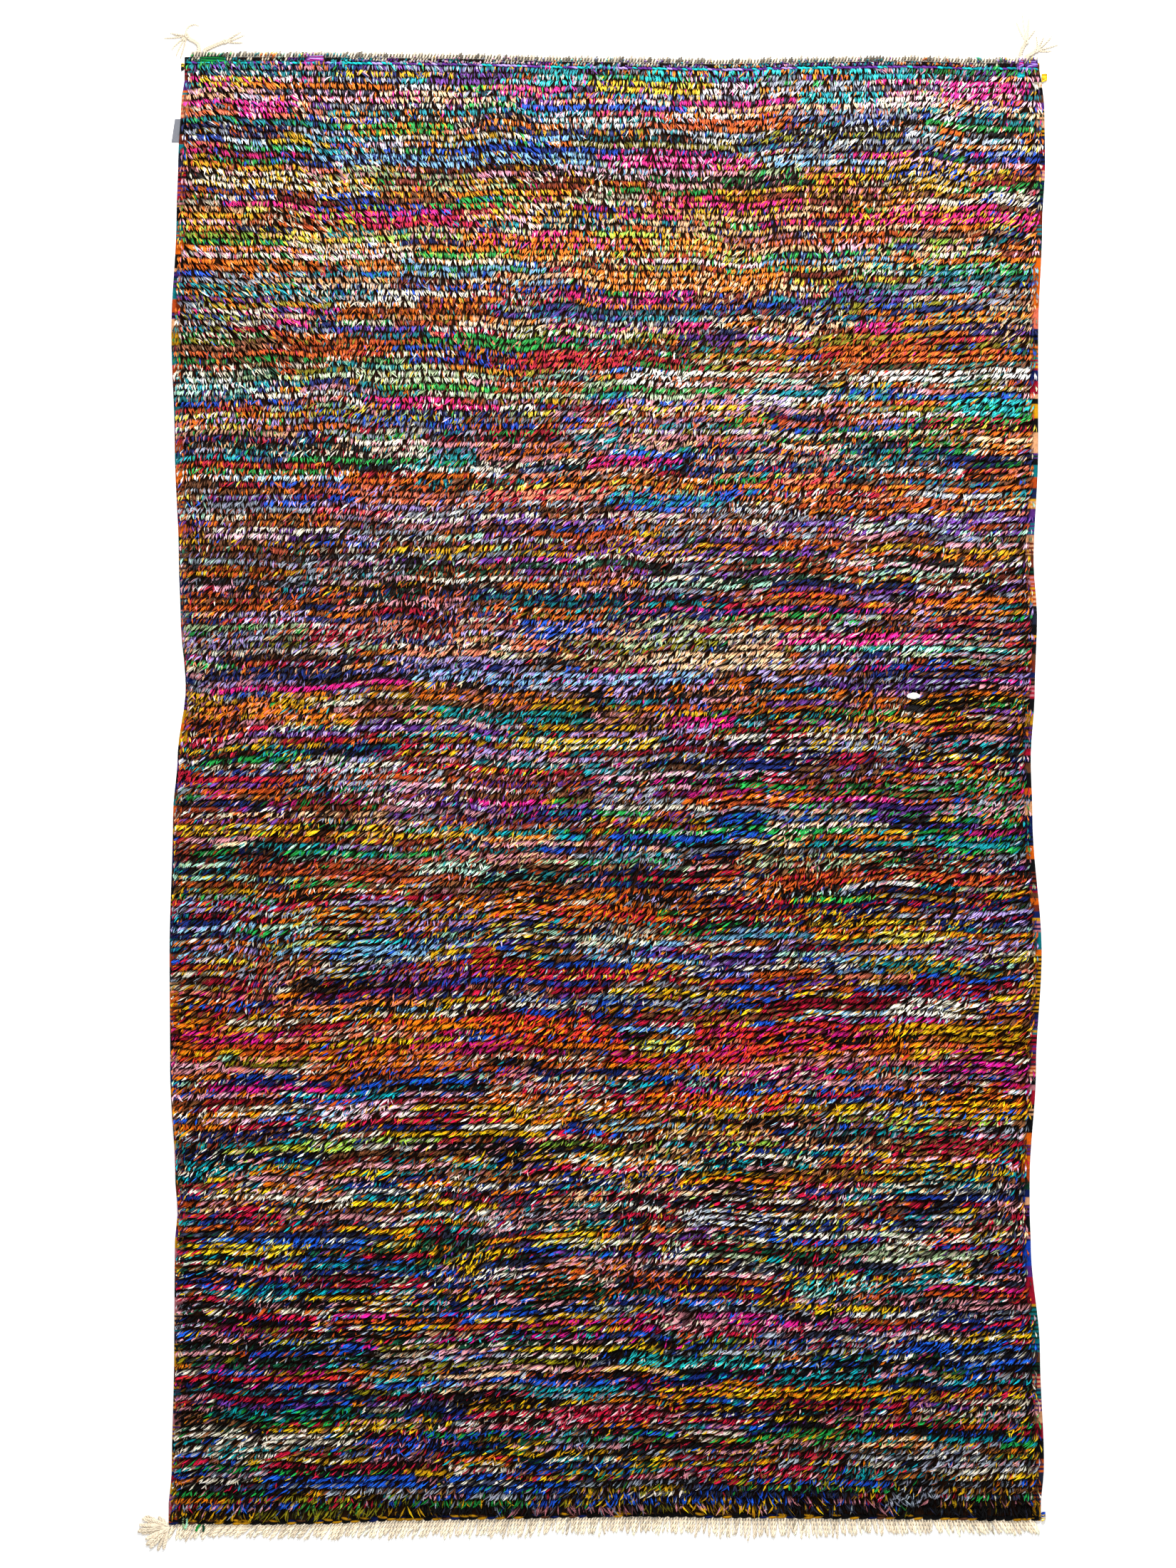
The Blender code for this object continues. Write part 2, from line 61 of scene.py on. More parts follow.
# How often each yarn is picked along the length: share from the fringed end, painted light and shade as a brightness,
# and yarns by weight
Zone = namedtuple("Zone", "share light yarns")
ZONES = (
    Zone(0.012, 0.66, "black 9 charcoal 4 mustard 3 royal 2 rose 2 crimson 1 olive 2 grey 2 green 1"),
    Zone(0.019, 0.95, "rose 3 crimson 3 mustard 4 black 5 olive 4 grey 4 green 2 royal 3 charcoal 3 cream 2"),
    Zone(0.036, 1.04, "charcoal 4 royal 4 grey 3 black 5 brown 4 rose 3 cream 2 mustard 4 teal 2 crimson 3 orange 2"),
    Zone(0.061, 1.04, "bottle_green 4 black 5 crimson 4 green 3 teal 3 royal 3 brown 3 mustard 4 grey 2 cream 2 rose 2 orange 1"),
    Zone(0.085, 1.02, "black 5 purple 2 crimson 4 rose 3 mustard 3 navy 3 royal 2 charcoal 2 teal 3 cream 3 orange 2"),
    Zone(0.114, 1.07, "black 5 bottle_green 3 charcoal 2 olive 3 magenta 2 grey 3 royal 4 rust 2 cream 3 peach 2 turquoise 1 rose 2"),
    Zone(0.139, 1.20, "black 5 rose 4 crimson 3 mustard 4 bottle_green 3 grey 4 royal 3 navy 2 cream 3 rust 3 magenta 2"),
    Zone(0.163, 1.22, "charcoal 4 navy 3 rust 4 teal 3 cream 4 rose 4 mustard 4 black 4 crimson 3 royal 2"),
    Zone(0.187, 1.24, "charcoal 4 mustard 4 royal 3 crimson 3 bottle_green 3 black 4 purple 2 sage 3 orange 3 cream 2"),
    Zone(0.212, 1.34, "cream 4 grey 3 charcoal 4 rust 4 mustard 4 navy 4 lime 1 rose 3 teal 3 peach 3 crimson 3 brown 2"),
    Zone(0.236, 1.30, "mustard 5 rose 4 navy 4 brown 4 orange 4 teal 3 cream 3 black 3 pink 2 royal 2 crimson 2"),
    Zone(0.260, 1.24, "grey 3 peach 4 lime 2 brown 4 chestnut 4 navy 3 cream 3 crimson 4 black 3 mustard 3 teal 3"),
    Zone(0.285, 1.20, "pink 4 cream 4 grey 2 orange 4 brown 3 sky 3 crimson 4 black 3 rust 4 mustard 3 royal 2"),
    Zone(0.304, 0.98, "orange 4 magenta 3 navy 4 cream 4 teal 3 rose 4 royal 3 mint 2 brown 3 rust 3"),
    Zone(0.328, 0.97, "red 4 orange 5 mustard 4 rust 4 salmon 3 magenta 3 black 3 olive 2 royal 2 cream 2"),
    Zone(0.348, 0.94, "mustard 5 orange 4 cream 4 royal 3 magenta 3 crimson 3 brown 4 sky 2 black 3"),
    Zone(0.372, 0.83, "crimson 5 mustard 4 salmon 3 grey 4 brown 4 purple 3 rust 3 navy 3 cream 3 royal 3"),
    Zone(0.401, 0.77, "mustard 4 orange 3 sky 4 mint 3 lavender 3 brown 3 navy 3 yellow 2 cream 3 teal 3 crimson 3"),
    Zone(0.426, 0.81, "mustard 4 navy 5 lavender 3 black 4 green 3 rust 4 cream 3 orange 3 grey 4 crimson 3"),
    Zone(0.448, 0.89, "brown 5 chestnut 4 sage 4 rust 4 teal 3 navy 4 mint 2 rose 3 black 3 crimson 2"),
    Zone(0.474, 0.97, "chestnut 5 mustard 3 peach 3 green 3 royal 3 rose 4 purple 3 black 3 grey 4 teal 2 orange 2"),
    Zone(0.504, 0.90, "teal 2 rust 5 green 3 grey 4 magenta 3 navy 3 purple 3 pink 2 brown 5 cream 3 orange 3"),
    Zone(0.533, 0.89, "crimson 4 navy 4 mustard 3 black 4 cream 3 lavender 3 teal 3 chestnut 4 pink 2 grey 4"),
    Zone(0.557, 0.88, "rose 5 rust 5 black 4 teal 2 brown 4 purple 3 mustard 3 orange 4 green 2 cream 3"),
    Zone(0.581, 0.84, "lavender 4 navy 4 royal 3 orange 3 rose 4 peach 3 brown 4 grey 3 hot_pink 2 black 3"),
    Zone(0.606, 0.87, "sage 4 salmon 5 peach 4 olive 3 lavender 3 grey 4 green 2 crimson 2 navy 3 cream 3 rust 3"),
    Zone(0.630, 0.91, "rust 5 orange 4 brown 4 rose 4 navy 4 lavender 3 crimson 3 teal 2 black 3 cream 2"),
    Zone(0.654, 0.97, "chestnut 4 rust 4 black 4 mint 3 purple 3 pink 3 mustard 3 bottle_green 3 cream 3 grey 4"),
    Zone(0.684, 1.05, "brown 5 grey 5 purple 4 lavender 3 chestnut 4 cream 3 orange 3 royal 2 mint 2 rose 3"),
    Zone(0.710, 1.06, "orange 5 rust 5 crimson 4 royal 3 teal 3 white 3 brown 4 salmon 4 black 3 yellow 1"),
    Zone(0.735, 1.02, "navy 5 teal 4 black 4 orange 3 rose 4 cream 3 green 3 crimson 3 grey 4 peach 3"),
    Zone(0.759, 0.99, "crimson 5 rose 5 olive 3 green 3 orange 3 yellow 2 royal 3 lavender 3 grey 4 cream 3 rust 3"),
    Zone(0.781, 1.05, "cream 6 sage 5 mint 3 brown 4 mustard 3 teal 4 rose 3 rust 3 navy 3 white 2"),
    Zone(0.800, 1.04, "rust 5 crimson 4 orange 3 brown 4 teal 3 cream 4 olive 4 royal 3 salmon 3 bottle_green 3 green 2"),
    Zone(0.830, 1.09, "cream 5 chestnut 4 purple 3 orange 4 navy 4 grey 4 teal 3 olive 3 hot_pink 2 peach 3"),
    Zone(0.854, 1.10, "peach 4 orange 4 cream 5 royal 3 green 3 crimson 3 teal 3 grey 4 yellow 2 sky 3 chestnut 3"),
    Zone(0.883, 1.09, "orange 6 rust 4 peach 5 lime 3 pink 4 teal 3 cream 4 yellow 2 navy 3"),
    Zone(0.905, 1.06, "mustard 5 orange 5 hot_pink 4 peach 4 royal 3 brown 3 crimson 3 green 2 cream 3"),
    Zone(0.922, 1.03, "chestnut 5 rose 5 pink 4 cream 5 mustard 4 black 3 green 2 sage 3 rust 4"),
    Zone(0.939, 1.03, "royal 6 mustard 4 cream 5 grey 4 hot_pink 3 sky 4 olive 3 green 2 navy 3 pink 2"),
    Zone(0.956, 1.17, "rust 5 navy 5 cream 5 orange 4 salmon 4 grey 5 teal 3 royal 4 black 4 green 2 white 3"),
    Zone(0.976, 1.42, "hot_pink 6 pink 5 peach 5 teal 4 royal 3 cream 5 orange 4 charcoal 3 grey 3 purple 2"),
    Zone(0.983, 1.50, "charcoal 5 grey 4 teal 3 cream 4 mustard 4 purple 3 white 3 green 2 hot_pink 3 orange 3 pink 3"),
    Zone(0.994, 1.20, "purple 6 teal 5 turquoise 4 green 4 orange 3 black 2 rose 3 mustard 3 grey 3 pink 2 navy 2"),
)

# The streaks that stand out: share across from the left, share along from the fringe, length in metres, rows
Streak = namedtuple("Streak", "across along length rows yarn other")
STREAKS = (
    Streak(0.017, 0.999, 0.067, 1, "bottle_green", "green"),
    Streak(0.075, 0.999, 0.052, 1, "orange", "rust"),
    Streak(0.114, 0.999, 0.014, 1, "mint", "sage"),
    Streak(0.126, 0.999, 0.030, 1, "yellow", "mustard"),
    Streak(0.145, 0.999, 0.034, 1, "purple", "magenta"),
    Streak(0.168, 0.999, 0.032, 1, "teal", "turquoise"),
    Streak(0.415, 0.999, 0.020, 1, "hot_pink", "magenta"),
    Streak(0.477, 0.999, 0.045, 1, "teal", "turquoise"),
    Streak(0.930, 0.999, 0.050, 1, "teal", "turquoise"),
    Streak(0.972, 0.999, 0.040, 1, "purple", "lavender"),
    Streak(0.59, 0.988, 0.09, 2, "white", "pink"),
    Streak(0.90, 0.983, 0.12, 2, "hot_pink", "pink"),
    Streak(0.37, 0.982, 0.11, 2, "hot_pink", "salmon"),
    Streak(0.49, 0.986, 0.19, 2, "mustard", "yellow"),
    Streak(0.72, 0.977, 0.13, 2, "teal", "turquoise"),
    Streak(0.07, 0.970, 0.06, 3, "hot_pink", "pink"),
    Streak(0.18, 0.938, 0.46, 2, "sky", "navy"),
    Streak(0.49, 0.936, 0.27, 2, "hot_pink", "pink"),
    Streak(0.02, 0.925, 0.22, 3, "cream", "mustard"),
    Streak(0.56, 0.907, 0.24, 1, "hot_pink", "orange"),
    Streak(0.77, 0.897, 0.36, 2, "hot_pink", "mustard"),
    Streak(0.20, 0.893, 0.18, 2, "crimson", "magenta"),
    Streak(0.33, 0.879, 0.32, 2, "orange", "hot_pink"),
    Streak(0.47, 0.887, 0.12, 1, "lime", "yellow"),
    Streak(0.47, 0.858, 0.37, 3, "orange", "peach"),
    Streak(0.60, 0.825, 0.08, 1, "hot_pink", "crimson"),
    Streak(0.79, 0.826, 0.09, 2, "hot_pink", "crimson"),
    Streak(0.85, 0.824, 0.21, 1, "orange", "mustard"),
    Streak(0.39, 0.806, 0.21, 3, "crimson", "rust"),
    Streak(0.78, 0.806, 0.33, 2, "rust", "orange"),
    Streak(0.53, 0.790, 0.14, 3, "white", "cream"),
    Streak(0.81, 0.792, 0.30, 2, "white", "cream"),
    Streak(0.21, 0.788, 0.22, 2, "sage", "cream"),
    Streak(0.23, 0.777, 0.18, 1, "green", "lime"),
    Streak(0.91, 0.772, 0.12, 3, "turquoise", "teal"),
    Streak(0.24, 0.770, 0.17, 2, "hot_pink", "crimson"),
    Streak(0.48, 0.727, 0.15, 2, "hot_pink", "crimson"),
    Streak(0.03, 0.714, 0.23, 1, "white", "sky"),
    Streak(0.64, 0.710, 0.35, 1, "orange", "rust"),
    Streak(0.36, 0.708, 0.21, 2, "salmon", "crimson"),
    Streak(0.51, 0.700, 0.21, 2, "teal", "royal"),
    Streak(0.36, 0.661, 0.16, 1, "purple", "magenta"),
    Streak(0.53, 0.627, 0.50, 1, "navy", "hot_pink"),
    Streak(0.41, 0.619, 0.10, 3, "royal", "lavender"),
    Streak(0.70, 0.608, 0.30, 2, "hot_pink", "pink"),
    Streak(0.72, 0.598, 0.40, 1, "mint", "teal"),
    Streak(0.54, 0.596, 0.26, 3, "peach", "cream"),
    Streak(0.02, 0.588, 0.27, 2, "navy", "charcoal"),
    Streak(0.27, 0.582, 0.50, 2, "sky", "lavender"),
    Streak(0.02, 0.575, 0.34, 1, "hot_pink", "magenta"),
    Streak(0.02, 0.561, 0.15, 2, "orange", "salmon"),
    Streak(0.30, 0.558, 0.28, 2, "teal", "bottle_green"),
    Streak(0.57, 0.552, 0.10, 2, "hot_pink", "magenta"),
    Streak(0.40, 0.542, 0.26, 2, "mustard", "cream"),
    Streak(0.33, 0.497, 0.12, 1, "hot_pink", "pink"),
    Streak(0.75, 0.497, 0.15, 1, "magenta", "pink"),
    Streak(0.54, 0.478, 0.41, 1, "green", "cream"),
    Streak(0.01, 0.476, 0.24, 2, "mustard", "brown"),
    Streak(0.70, 0.448, 0.42, 2, "rust", "crimson"),
    Streak(0.09, 0.450, 0.30, 2, "chestnut", "rust"),
    Streak(0.30, 0.449, 0.12, 2, "mint", "cream"),
    Streak(0.20, 0.400, 0.14, 1, "turquoise", "sky"),
    Streak(0.82, 0.406, 0.11, 2, "yellow", "cream"),
    Streak(0.34, 0.377, 0.38, 2, "crimson", "mustard"),
    Streak(0.84, 0.355, 0.14, 3, "cream", "white"),
    Streak(0.36, 0.344, 0.22, 4, "red", "orange"),
    Streak(0.55, 0.331, 0.09, 2, "yellow", "mint"),
    Streak(0.89, 0.314, 0.16, 2, "magenta", "purple"),
    Streak(0.17, 0.287, 0.16, 3, "pink", "cream"),
    Streak(0.56, 0.295, 0.26, 2, "orange", "red"),
    Streak(0.06, 0.258, 0.22, 1, "lime", "olive"),
    Streak(0.60, 0.211, 0.17, 3, "grey", "cream"),
    Streak(0.01, 0.190, 0.22, 2, "mustard", "yellow"),
    Streak(0.02, 0.197, 0.17, 1, "royal", "sage"),
    Streak(0.74, 0.169, 0.14, 3, "mint", "teal"),
    Streak(0.36, 0.140, 0.19, 1, "mustard", "peach"),
    Streak(0.00, 0.103, 0.35, 1, "crimson", "red"),
    Streak(0.24, 0.099, 0.17, 1, "royal", "sky"),
    Streak(0.58, 0.092, 0.41, 2, "mustard", "orange"),
    Streak(0.45, 0.080, 0.21, 3, "crimson", "rose"),
    Streak(0.81, 0.058, 0.11, 2, "peach", "orange"),
    Streak(0.12, 0.033, 0.27, 2, "royal", "navy"),
    Streak(0.17, 0.016, 0.10, 1, "green", "lime"),
)
STREAK_PURITY = 0.78

# Which way the tips lie, in degrees from straight down the rug towards +X, by share of the length
Lean = namedtuple("Lean", "share left centre right")
LEANS = (
    Lean(0.000, -30, 10, 28),
    Lean(0.014, -35, 5, 24),
    Lean(0.030, -58, -50, -40),
    Lean(0.050, -56, -52, -46),
    Lean(0.100, -57, -53, -50),
    Lean(0.180, -54, -50, -50),
    Lean(0.260, -50, -48, -50),
    Lean(0.340, -47, -46, -52),
    Lean(0.440, -43, -45, -52),
    Lean(0.520, -37, -41, -52),
    Lean(0.600, -28, -37, -50),
    Lean(0.700, -12, -34, -46),
    Lean(0.760, 8, -32, -44),
    Lean(0.800, 28, -26, -44),
    Lean(0.850, 32, -10, -42),
    Lean(0.900, 32, 4, -40),
    Lean(0.950, 27, 2, -35),
    Lean(1.000, 10, 0, -15),
)

# The warp ends of the fringe: share across, slant from straight down towards +X in degrees, length
FringeRow = namedtuple("FringeRow", "share slant length")
FRINGE_ROWS = (
    FringeRow(0.00, -12, 0.026),
    FringeRow(0.07, -40, 0.028),
    FringeRow(0.15, -30, 0.026),
    FringeRow(0.25, -20, 0.029),
    FringeRow(0.40, -12, 0.028),
    FringeRow(0.55, -8, 0.025),
    FringeRow(0.66, 2, 0.030),
    FringeRow(0.74, 6, 0.029),
    FringeRow(0.80, 10, 0.024),
    FringeRow(0.90, 22, 0.024),
    FringeRow(1.00, 33, 0.027),
)

# The corner tassels: the plait from the cord to the knot, and the loose yarns that leave the knot
Yarn = namedtuple("Yarn", "angle length curl")
Tassel = namedtuple("Tassel", "node share plait yarns")
TASSELS = (
    Tassel(
        "tassel_top_left_outer",
        0.0167,
        ((0.0, 0.0), (0.0, 0.012), (-0.007, 0.019), (-0.015, 0.023), (-0.021, 0.029)),
        (
            Yarn(108, 0.034, -150),
            Yarn(169, 0.026, 4),
            Yarn(178, 0.022, -14),
            Yarn(191, 0.037, -10),
            Yarn(214, 0.033, 20),
            Yarn(236, 0.037, 14),
            Yarn(258, 0.038, -8),
        ),
    ),
    Tassel(
        "tassel_top_left_inner",
        0.0240,
        ((0.0, 0.0), (0.0, 0.004), (0.010, 0.009), (0.024, 0.015), (0.035, 0.019)),
        (Yarn(-11, 0.028, 16), Yarn(11, 0.034, 18), Yarn(34, 0.030, -6)),
    ),
    Tassel(
        "tassel_top_right_inner",
        0.9775,
        ((0.0, 0.0), (0.0, 0.007), (0.003, 0.017), (0.010, 0.029)),
        (
            Yarn(56, 0.024, -8),
            Yarn(79, 0.036, 8),
            Yarn(90, 0.040, -16),
            Yarn(101, 0.044, -6),
            Yarn(124, 0.036, -16),
        ),
    ),
    Tassel(
        "tassel_top_right_outer",
        0.9845,
        ((0.0, 0.0), (0.0, 0.003), (0.009, 0.008), (0.017, 0.014)),
        (
            Yarn(-11, 0.024, 20),
            Yarn(11, 0.036, 8),
            Yarn(34, 0.034, 18),
            Yarn(56, 0.024, 10),
            Yarn(79, 0.022, 24),
        ),
    ),
)

# The looped warp yarns at the bottom left corner: heading in degrees, length, and how wide each loop opens
Loop = namedtuple("Loop", "angle length opening")
CORNER_LOOPS = (
    Loop(136, 0.024, 0.008),
    Loop(146, 0.032, 0.008),
    Loop(154, 0.038, 0.009),
    Loop(161, 0.044, 0.009),
    Loop(168, 0.048, 0.009),
    Loop(174, 0.051, 0.009),
    Loop(180, 0.053, 0.010),
    Loop(186, 0.054, 0.009),
    Loop(192, 0.052, 0.009),
    Loop(198, 0.048, 0.009),
    Loop(204, 0.045, 0.009),
    Loop(210, 0.046, 0.009),
    Loop(217, 0.048, 0.009),
    Loop(224, 0.049, 0.010),
    Loop(231, 0.048, 0.009),
    Loop(238, 0.044, 0.008),
    Loop(246, 0.038, 0.008),
    Loop(255, 0.034, 0.007),
)

# The yarn knots at three corners: share across and along, size, and the wools wound into it
Wound = namedtuple("Wound", "node across along out size yarns")
CORNER_KNOTS = (
    Wound("knot_top_left", 0.0, 0.9935, -1, (0.005, 0.012, 0.008), ("black", "charcoal", "yellow")),
    Wound("knot_top_right", 1.0, 0.9900, 1, (0.010, 0.014, 0.010), ("yellow", "mustard", "yellow")),
    Wound("purple_mound_right", 0.9985, 0.9990, -1, (0.020, 0.013, 0.015), ("purple", "lavender", "purple")),
    Wound("purple_mound_inner", 0.9780, 0.9990, 0, (0.009, 0.015, 0.014), ("purple", "lavender", "magenta")),
    Wound("teal_mound", 0.9760, 0.9910, 0, (0.016, 0.010, 0.019), ("teal", "turquoise", "teal")),
    Wound("purple_mound_left", 0.1530, 0.9985, 0, (0.034, 0.013, 0.013), ("purple", "magenta", "lavender")),
    Wound("green_mound_left", 0.0330, 0.9975, 0, (0.050, 0.014, 0.014), ("bottle_green", "green", "bottle_green")),
    Wound("knot_bottom_right", 1.0, 0.0030, 1, (0.007, 0.016, 0.009), ("yellow", "cream", "black", "royal")),
)


def linear(code):
    """A colour written as six hexadecimal digits, in linear RGB."""
    parts = [int(code[i : i + 2], 16) / 255 for i in (0, 2, 4)]
    return tuple(p / 12.92 if p <= 0.04045 else ((p + 0.055) / 1.055) ** 2.4 for p in parts)


def dye(label, code):
    """A colour property for one dyed wool."""
    return FloatVectorProperty(
        name=label,
        description=f"Colour of the {label.lower()} wool",
        subtype="COLOR",
        size=3,
        min=0.0,
        max=1.0,
        default=linear(code),
    )


def length_of(label, description, default):
    """A length property in metres."""
    return FloatProperty(
        name=label, description=description, default=default, min=0.0, unit="LENGTH", subtype="DISTANCE"
    )


class DyedWools(bpy.types.PropertyGroup):
    """The dyed and undyed wools that the rug is knotted from."""

    hot_pink: dye("Hot pink", "F01478")
    magenta: dye("Magenta", "C0126E")
    crimson: dye("Crimson", "B00C2C")
    red: dye("Red", "DC2A1E")
    orange: dye("Orange", "F26C08")
    rust: dye("Rust", "C44A12")
    salmon: dye("Salmon", "EC7456")
    peach: dye("Peach", "F4B280")
    mustard: dye("Mustard", "E4A20C")
    yellow: dye("Yellow", "F4D238")
    olive: dye("Olive", "80780E")
    lime: dye("Lime", "94C840")
    green: dye("Green", "168E38")
    bottle_green: dye("Bottle green", "083E28")
    mint: dye("Mint", "A0E0BE")
    teal: dye("Teal", "047E88")
    turquoise: dye("Turquoise", "1CBCBC")
    sky: dye("Sky blue", "74ACDC")
    royal: dye("Royal blue", "1248C8")
    navy: dye("Navy", "081C5C")
    black: dye("Black", "050508")
    charcoal: dye("Charcoal", "22263A")
    grey: dye("Grey", "8A92A2")
    sage: dye("Sage", "98B082")
    cream: dye("Cream", "F2E4C6")
    white: dye("White", "FBFAF6")
    rose: dye("Dusty rose", "CE7E88")
    pink: dye("Pale pink", "F6A2BC")
    purple: dye("Purple", "5E2C86")
    lavender: dye("Lavender", "A68EDA")
    chestnut: dye("Chestnut", "7A2A16")
    brown: dye("Brown", "6A3E22")
    natural: dye("Undyed warp", "F2E2C8")


class RugSizes(bpy.types.PropertyGroup):
    """The sizes of the rug's yarns and rows."""

    row_pitch: length_of("Row pitch", "Distance between one row of knots and the next", 0.0108)
    knot_pitch: length_of("Knot pitch", "Distance between one knot of two locks and the next along a row", 0.00374)
    lock_length: length_of("Lock length", "The most that a lock reaches over the next row", 0.0200)
    lock_radius: length_of("Lock radius", "Half the width of a lock at its fullest", 0.00130)
    pile_height: length_of("Pile height", "Height of a lock's crown above the floor", 0.0165)
    cloth: length_of("Cloth thickness", "Thickness of the woven ground", 0.0040)
    selvedge: length_of("Selvedge width", "Width of the flat-woven sides", 0.0140)
    ply_radius: length_of("Ply radius", "Half the thickness of one ply of the warp yarn", 0.00150)
    fringe_strands: IntProperty(
        name="Fringe strands", description="Number of cut warp ends along the fringe", default=296, min=10
    )
    cord_loops: IntProperty(
        name="Cord loops", description="Number of warp loops bound along the top cord", default=270, min=10
    )
    seed: IntProperty(name="Seed", description="Start of the random draws", default=23, min=0)


CORNER = 0.020


def edge_lines():
    """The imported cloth's four edges, each as two rows of numbers for np.interp."""
    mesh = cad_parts["rug"].data
    co = np.empty(len(mesh.vertices) * 3)
    mesh.vertices.foreach_get("co", co)
    foot = co.reshape(-1, 3)
    foot = foot[foot[:, 2] < 1e-4]
    sides = foot[np.abs(foot[:, 1]) < LENGTH / 2 - CORNER]
    ends = foot[np.abs(foot[:, 0]) < WIDTH / 2 - 2 * CORNER]
    lines = {}
    for name, points, key, value, sign in (
        ("left", sides, 1, 0, -1),
        ("right", sides, 1, 0, 1),
        ("bottom", ends, 0, 1, -1),
        ("top", ends, 0, 1, 1),
    ):
        chosen = points[points[:, value] * sign > WIDTH / 2 - 2 * CORNER]
        order = np.argsort(chosen[:, key])
        lines[name] = (chosen[order, key], chosen[order, value])
    return lines


EDGES = edge_lines()


def place(across, along):
    """X and Y at these shares of the cloth's width and length."""
    across, along = np.asarray(across, float), np.asarray(along, float)
    rough = (across - 0.5) * WIDTH
    bottom, top = np.interp(rough, *EDGES["bottom"]), np.interp(rough, *EDGES["top"])
    y = bottom + (top - bottom) * along
    left, right = np.interp(y, *EDGES["left"]), np.interp(y, *EDGES["right"])
    return left + (right - left) * across, y


def table_at(table, column, share):
    """A table's column at these shares, straight from row to row."""
    return np.interp(share, [row.share for row in table], [getattr(row, column) for row in table])


class Ripple:
    """Smooth waves over the rug, between about -1 and 1, from a few sines."""

    def __init__(self, rng, longest, count=6):
        self.angles = rng.uniform(0, 2 * np.pi, count)
        self.waves = 2 * np.pi / (longest * rng.uniform(0.35, 1.0, count))
        self.phases = rng.uniform(0, 2 * np.pi, count)

    def at(self, x, y):
        total = 0.0
        for angle, wave, phase in zip(self.angles, self.waves, self.phases):
            total = total + np.sin((x * np.cos(angle) + y * np.sin(angle)) * wave + phase)
        return total / math.sqrt(len(self.angles))


def wools():
    return bpy.context.scene.dyed_wools


def sizes():
    return bpy.context.scene.rug_sizes


def colour(name):
    return np.array(getattr(wools(), name))


# Materials


def new_group(name, inputs, outputs):
    """An empty shader node group with named inputs and outputs, its nodes tree and the two ends."""
    tree = bpy.data.node_groups.new(name, "ShaderNodeTree")
    for label, kind, default in inputs:
        made = tree.interface.new_socket(name=label, in_out="INPUT", socket_type=kind)
        made.default_value = default
    for label, kind in outputs:
        tree.interface.new_socket(name=label, in_out="OUTPUT", socket_type=kind)
    start = tree.nodes.new("NodeGroupInput")
    end = tree.nodes.new("NodeGroupOutput")
    return tree, start, end


def add_math(tree, operation, first, second):
    """A Math node; each argument is a socket or a number."""
    node = tree.nodes.new("ShaderNodeMath")
    node.operation = operation
    for socket, value in zip(node.inputs, (first, second)):
        if isinstance(value, bpy.types.NodeSocket):
            tree.links.new(value, socket)
        else:
            socket.default_value = value
    return node.outputs[0]


def wool_fibres_group():
    """Fine fibres drawn out along the yarn: lightens and darkens a wool, and lifts its surface."""
    found = bpy.data.node_groups.get("wool_fibres")
    if found:
        return found
    tree, start, end = new_group(
        "wool_fibres",
        (
            ("Colour", "NodeSocketColor", (0.5, 0.5, 0.5, 1.0)),
            ("Grain", "NodeSocketVector", (0.0, 0.0, 0.0)),
            ("Depth", "NodeSocketFloat", 0.45),
        ),
        (("Colour", "NodeSocketColor"), ("Roughness", "NodeSocketFloat"), ("Height", "NodeSocketFloat")),
    )
    fibres = tree.nodes.new("ShaderNodeTexNoise")
    fibres.inputs["Scale"].default_value = 1.0
    fibres.inputs["Detail"].default_value = 3.0
    fibres.inputs["Roughness"].default_value = 0.6
    tree.links.new(start.outputs["Grain"], fibres.inputs["Vector"])
    centred = add_math(tree, "SUBTRACT", fibres.outputs["Fac"], 0.5)
    swing = add_math(tree, "MULTIPLY", centred, start.outputs["Depth"])
    swing = add_math(tree, "MULTIPLY", swing, 2.0)
    gain = add_math(tree, "ADD", swing, 1.0)
    tint = tree.nodes.new("ShaderNodeVectorMath")
    tint.operation = "SCALE"
    tree.links.new(start.outputs["Colour"], tint.inputs[0])
    tree.links.new(gain, tint.inputs["Scale"])
    tree.links.new(tint.outputs[0], end.inputs["Colour"])
    rough = add_math(tree, "MULTIPLY", centred, -0.3)
    tree.links.new(add_math(tree, "ADD", rough, 0.86), end.inputs["Roughness"])
    tree.links.new(fibres.outputs["Fac"], end.inputs["Height"])
    return tree


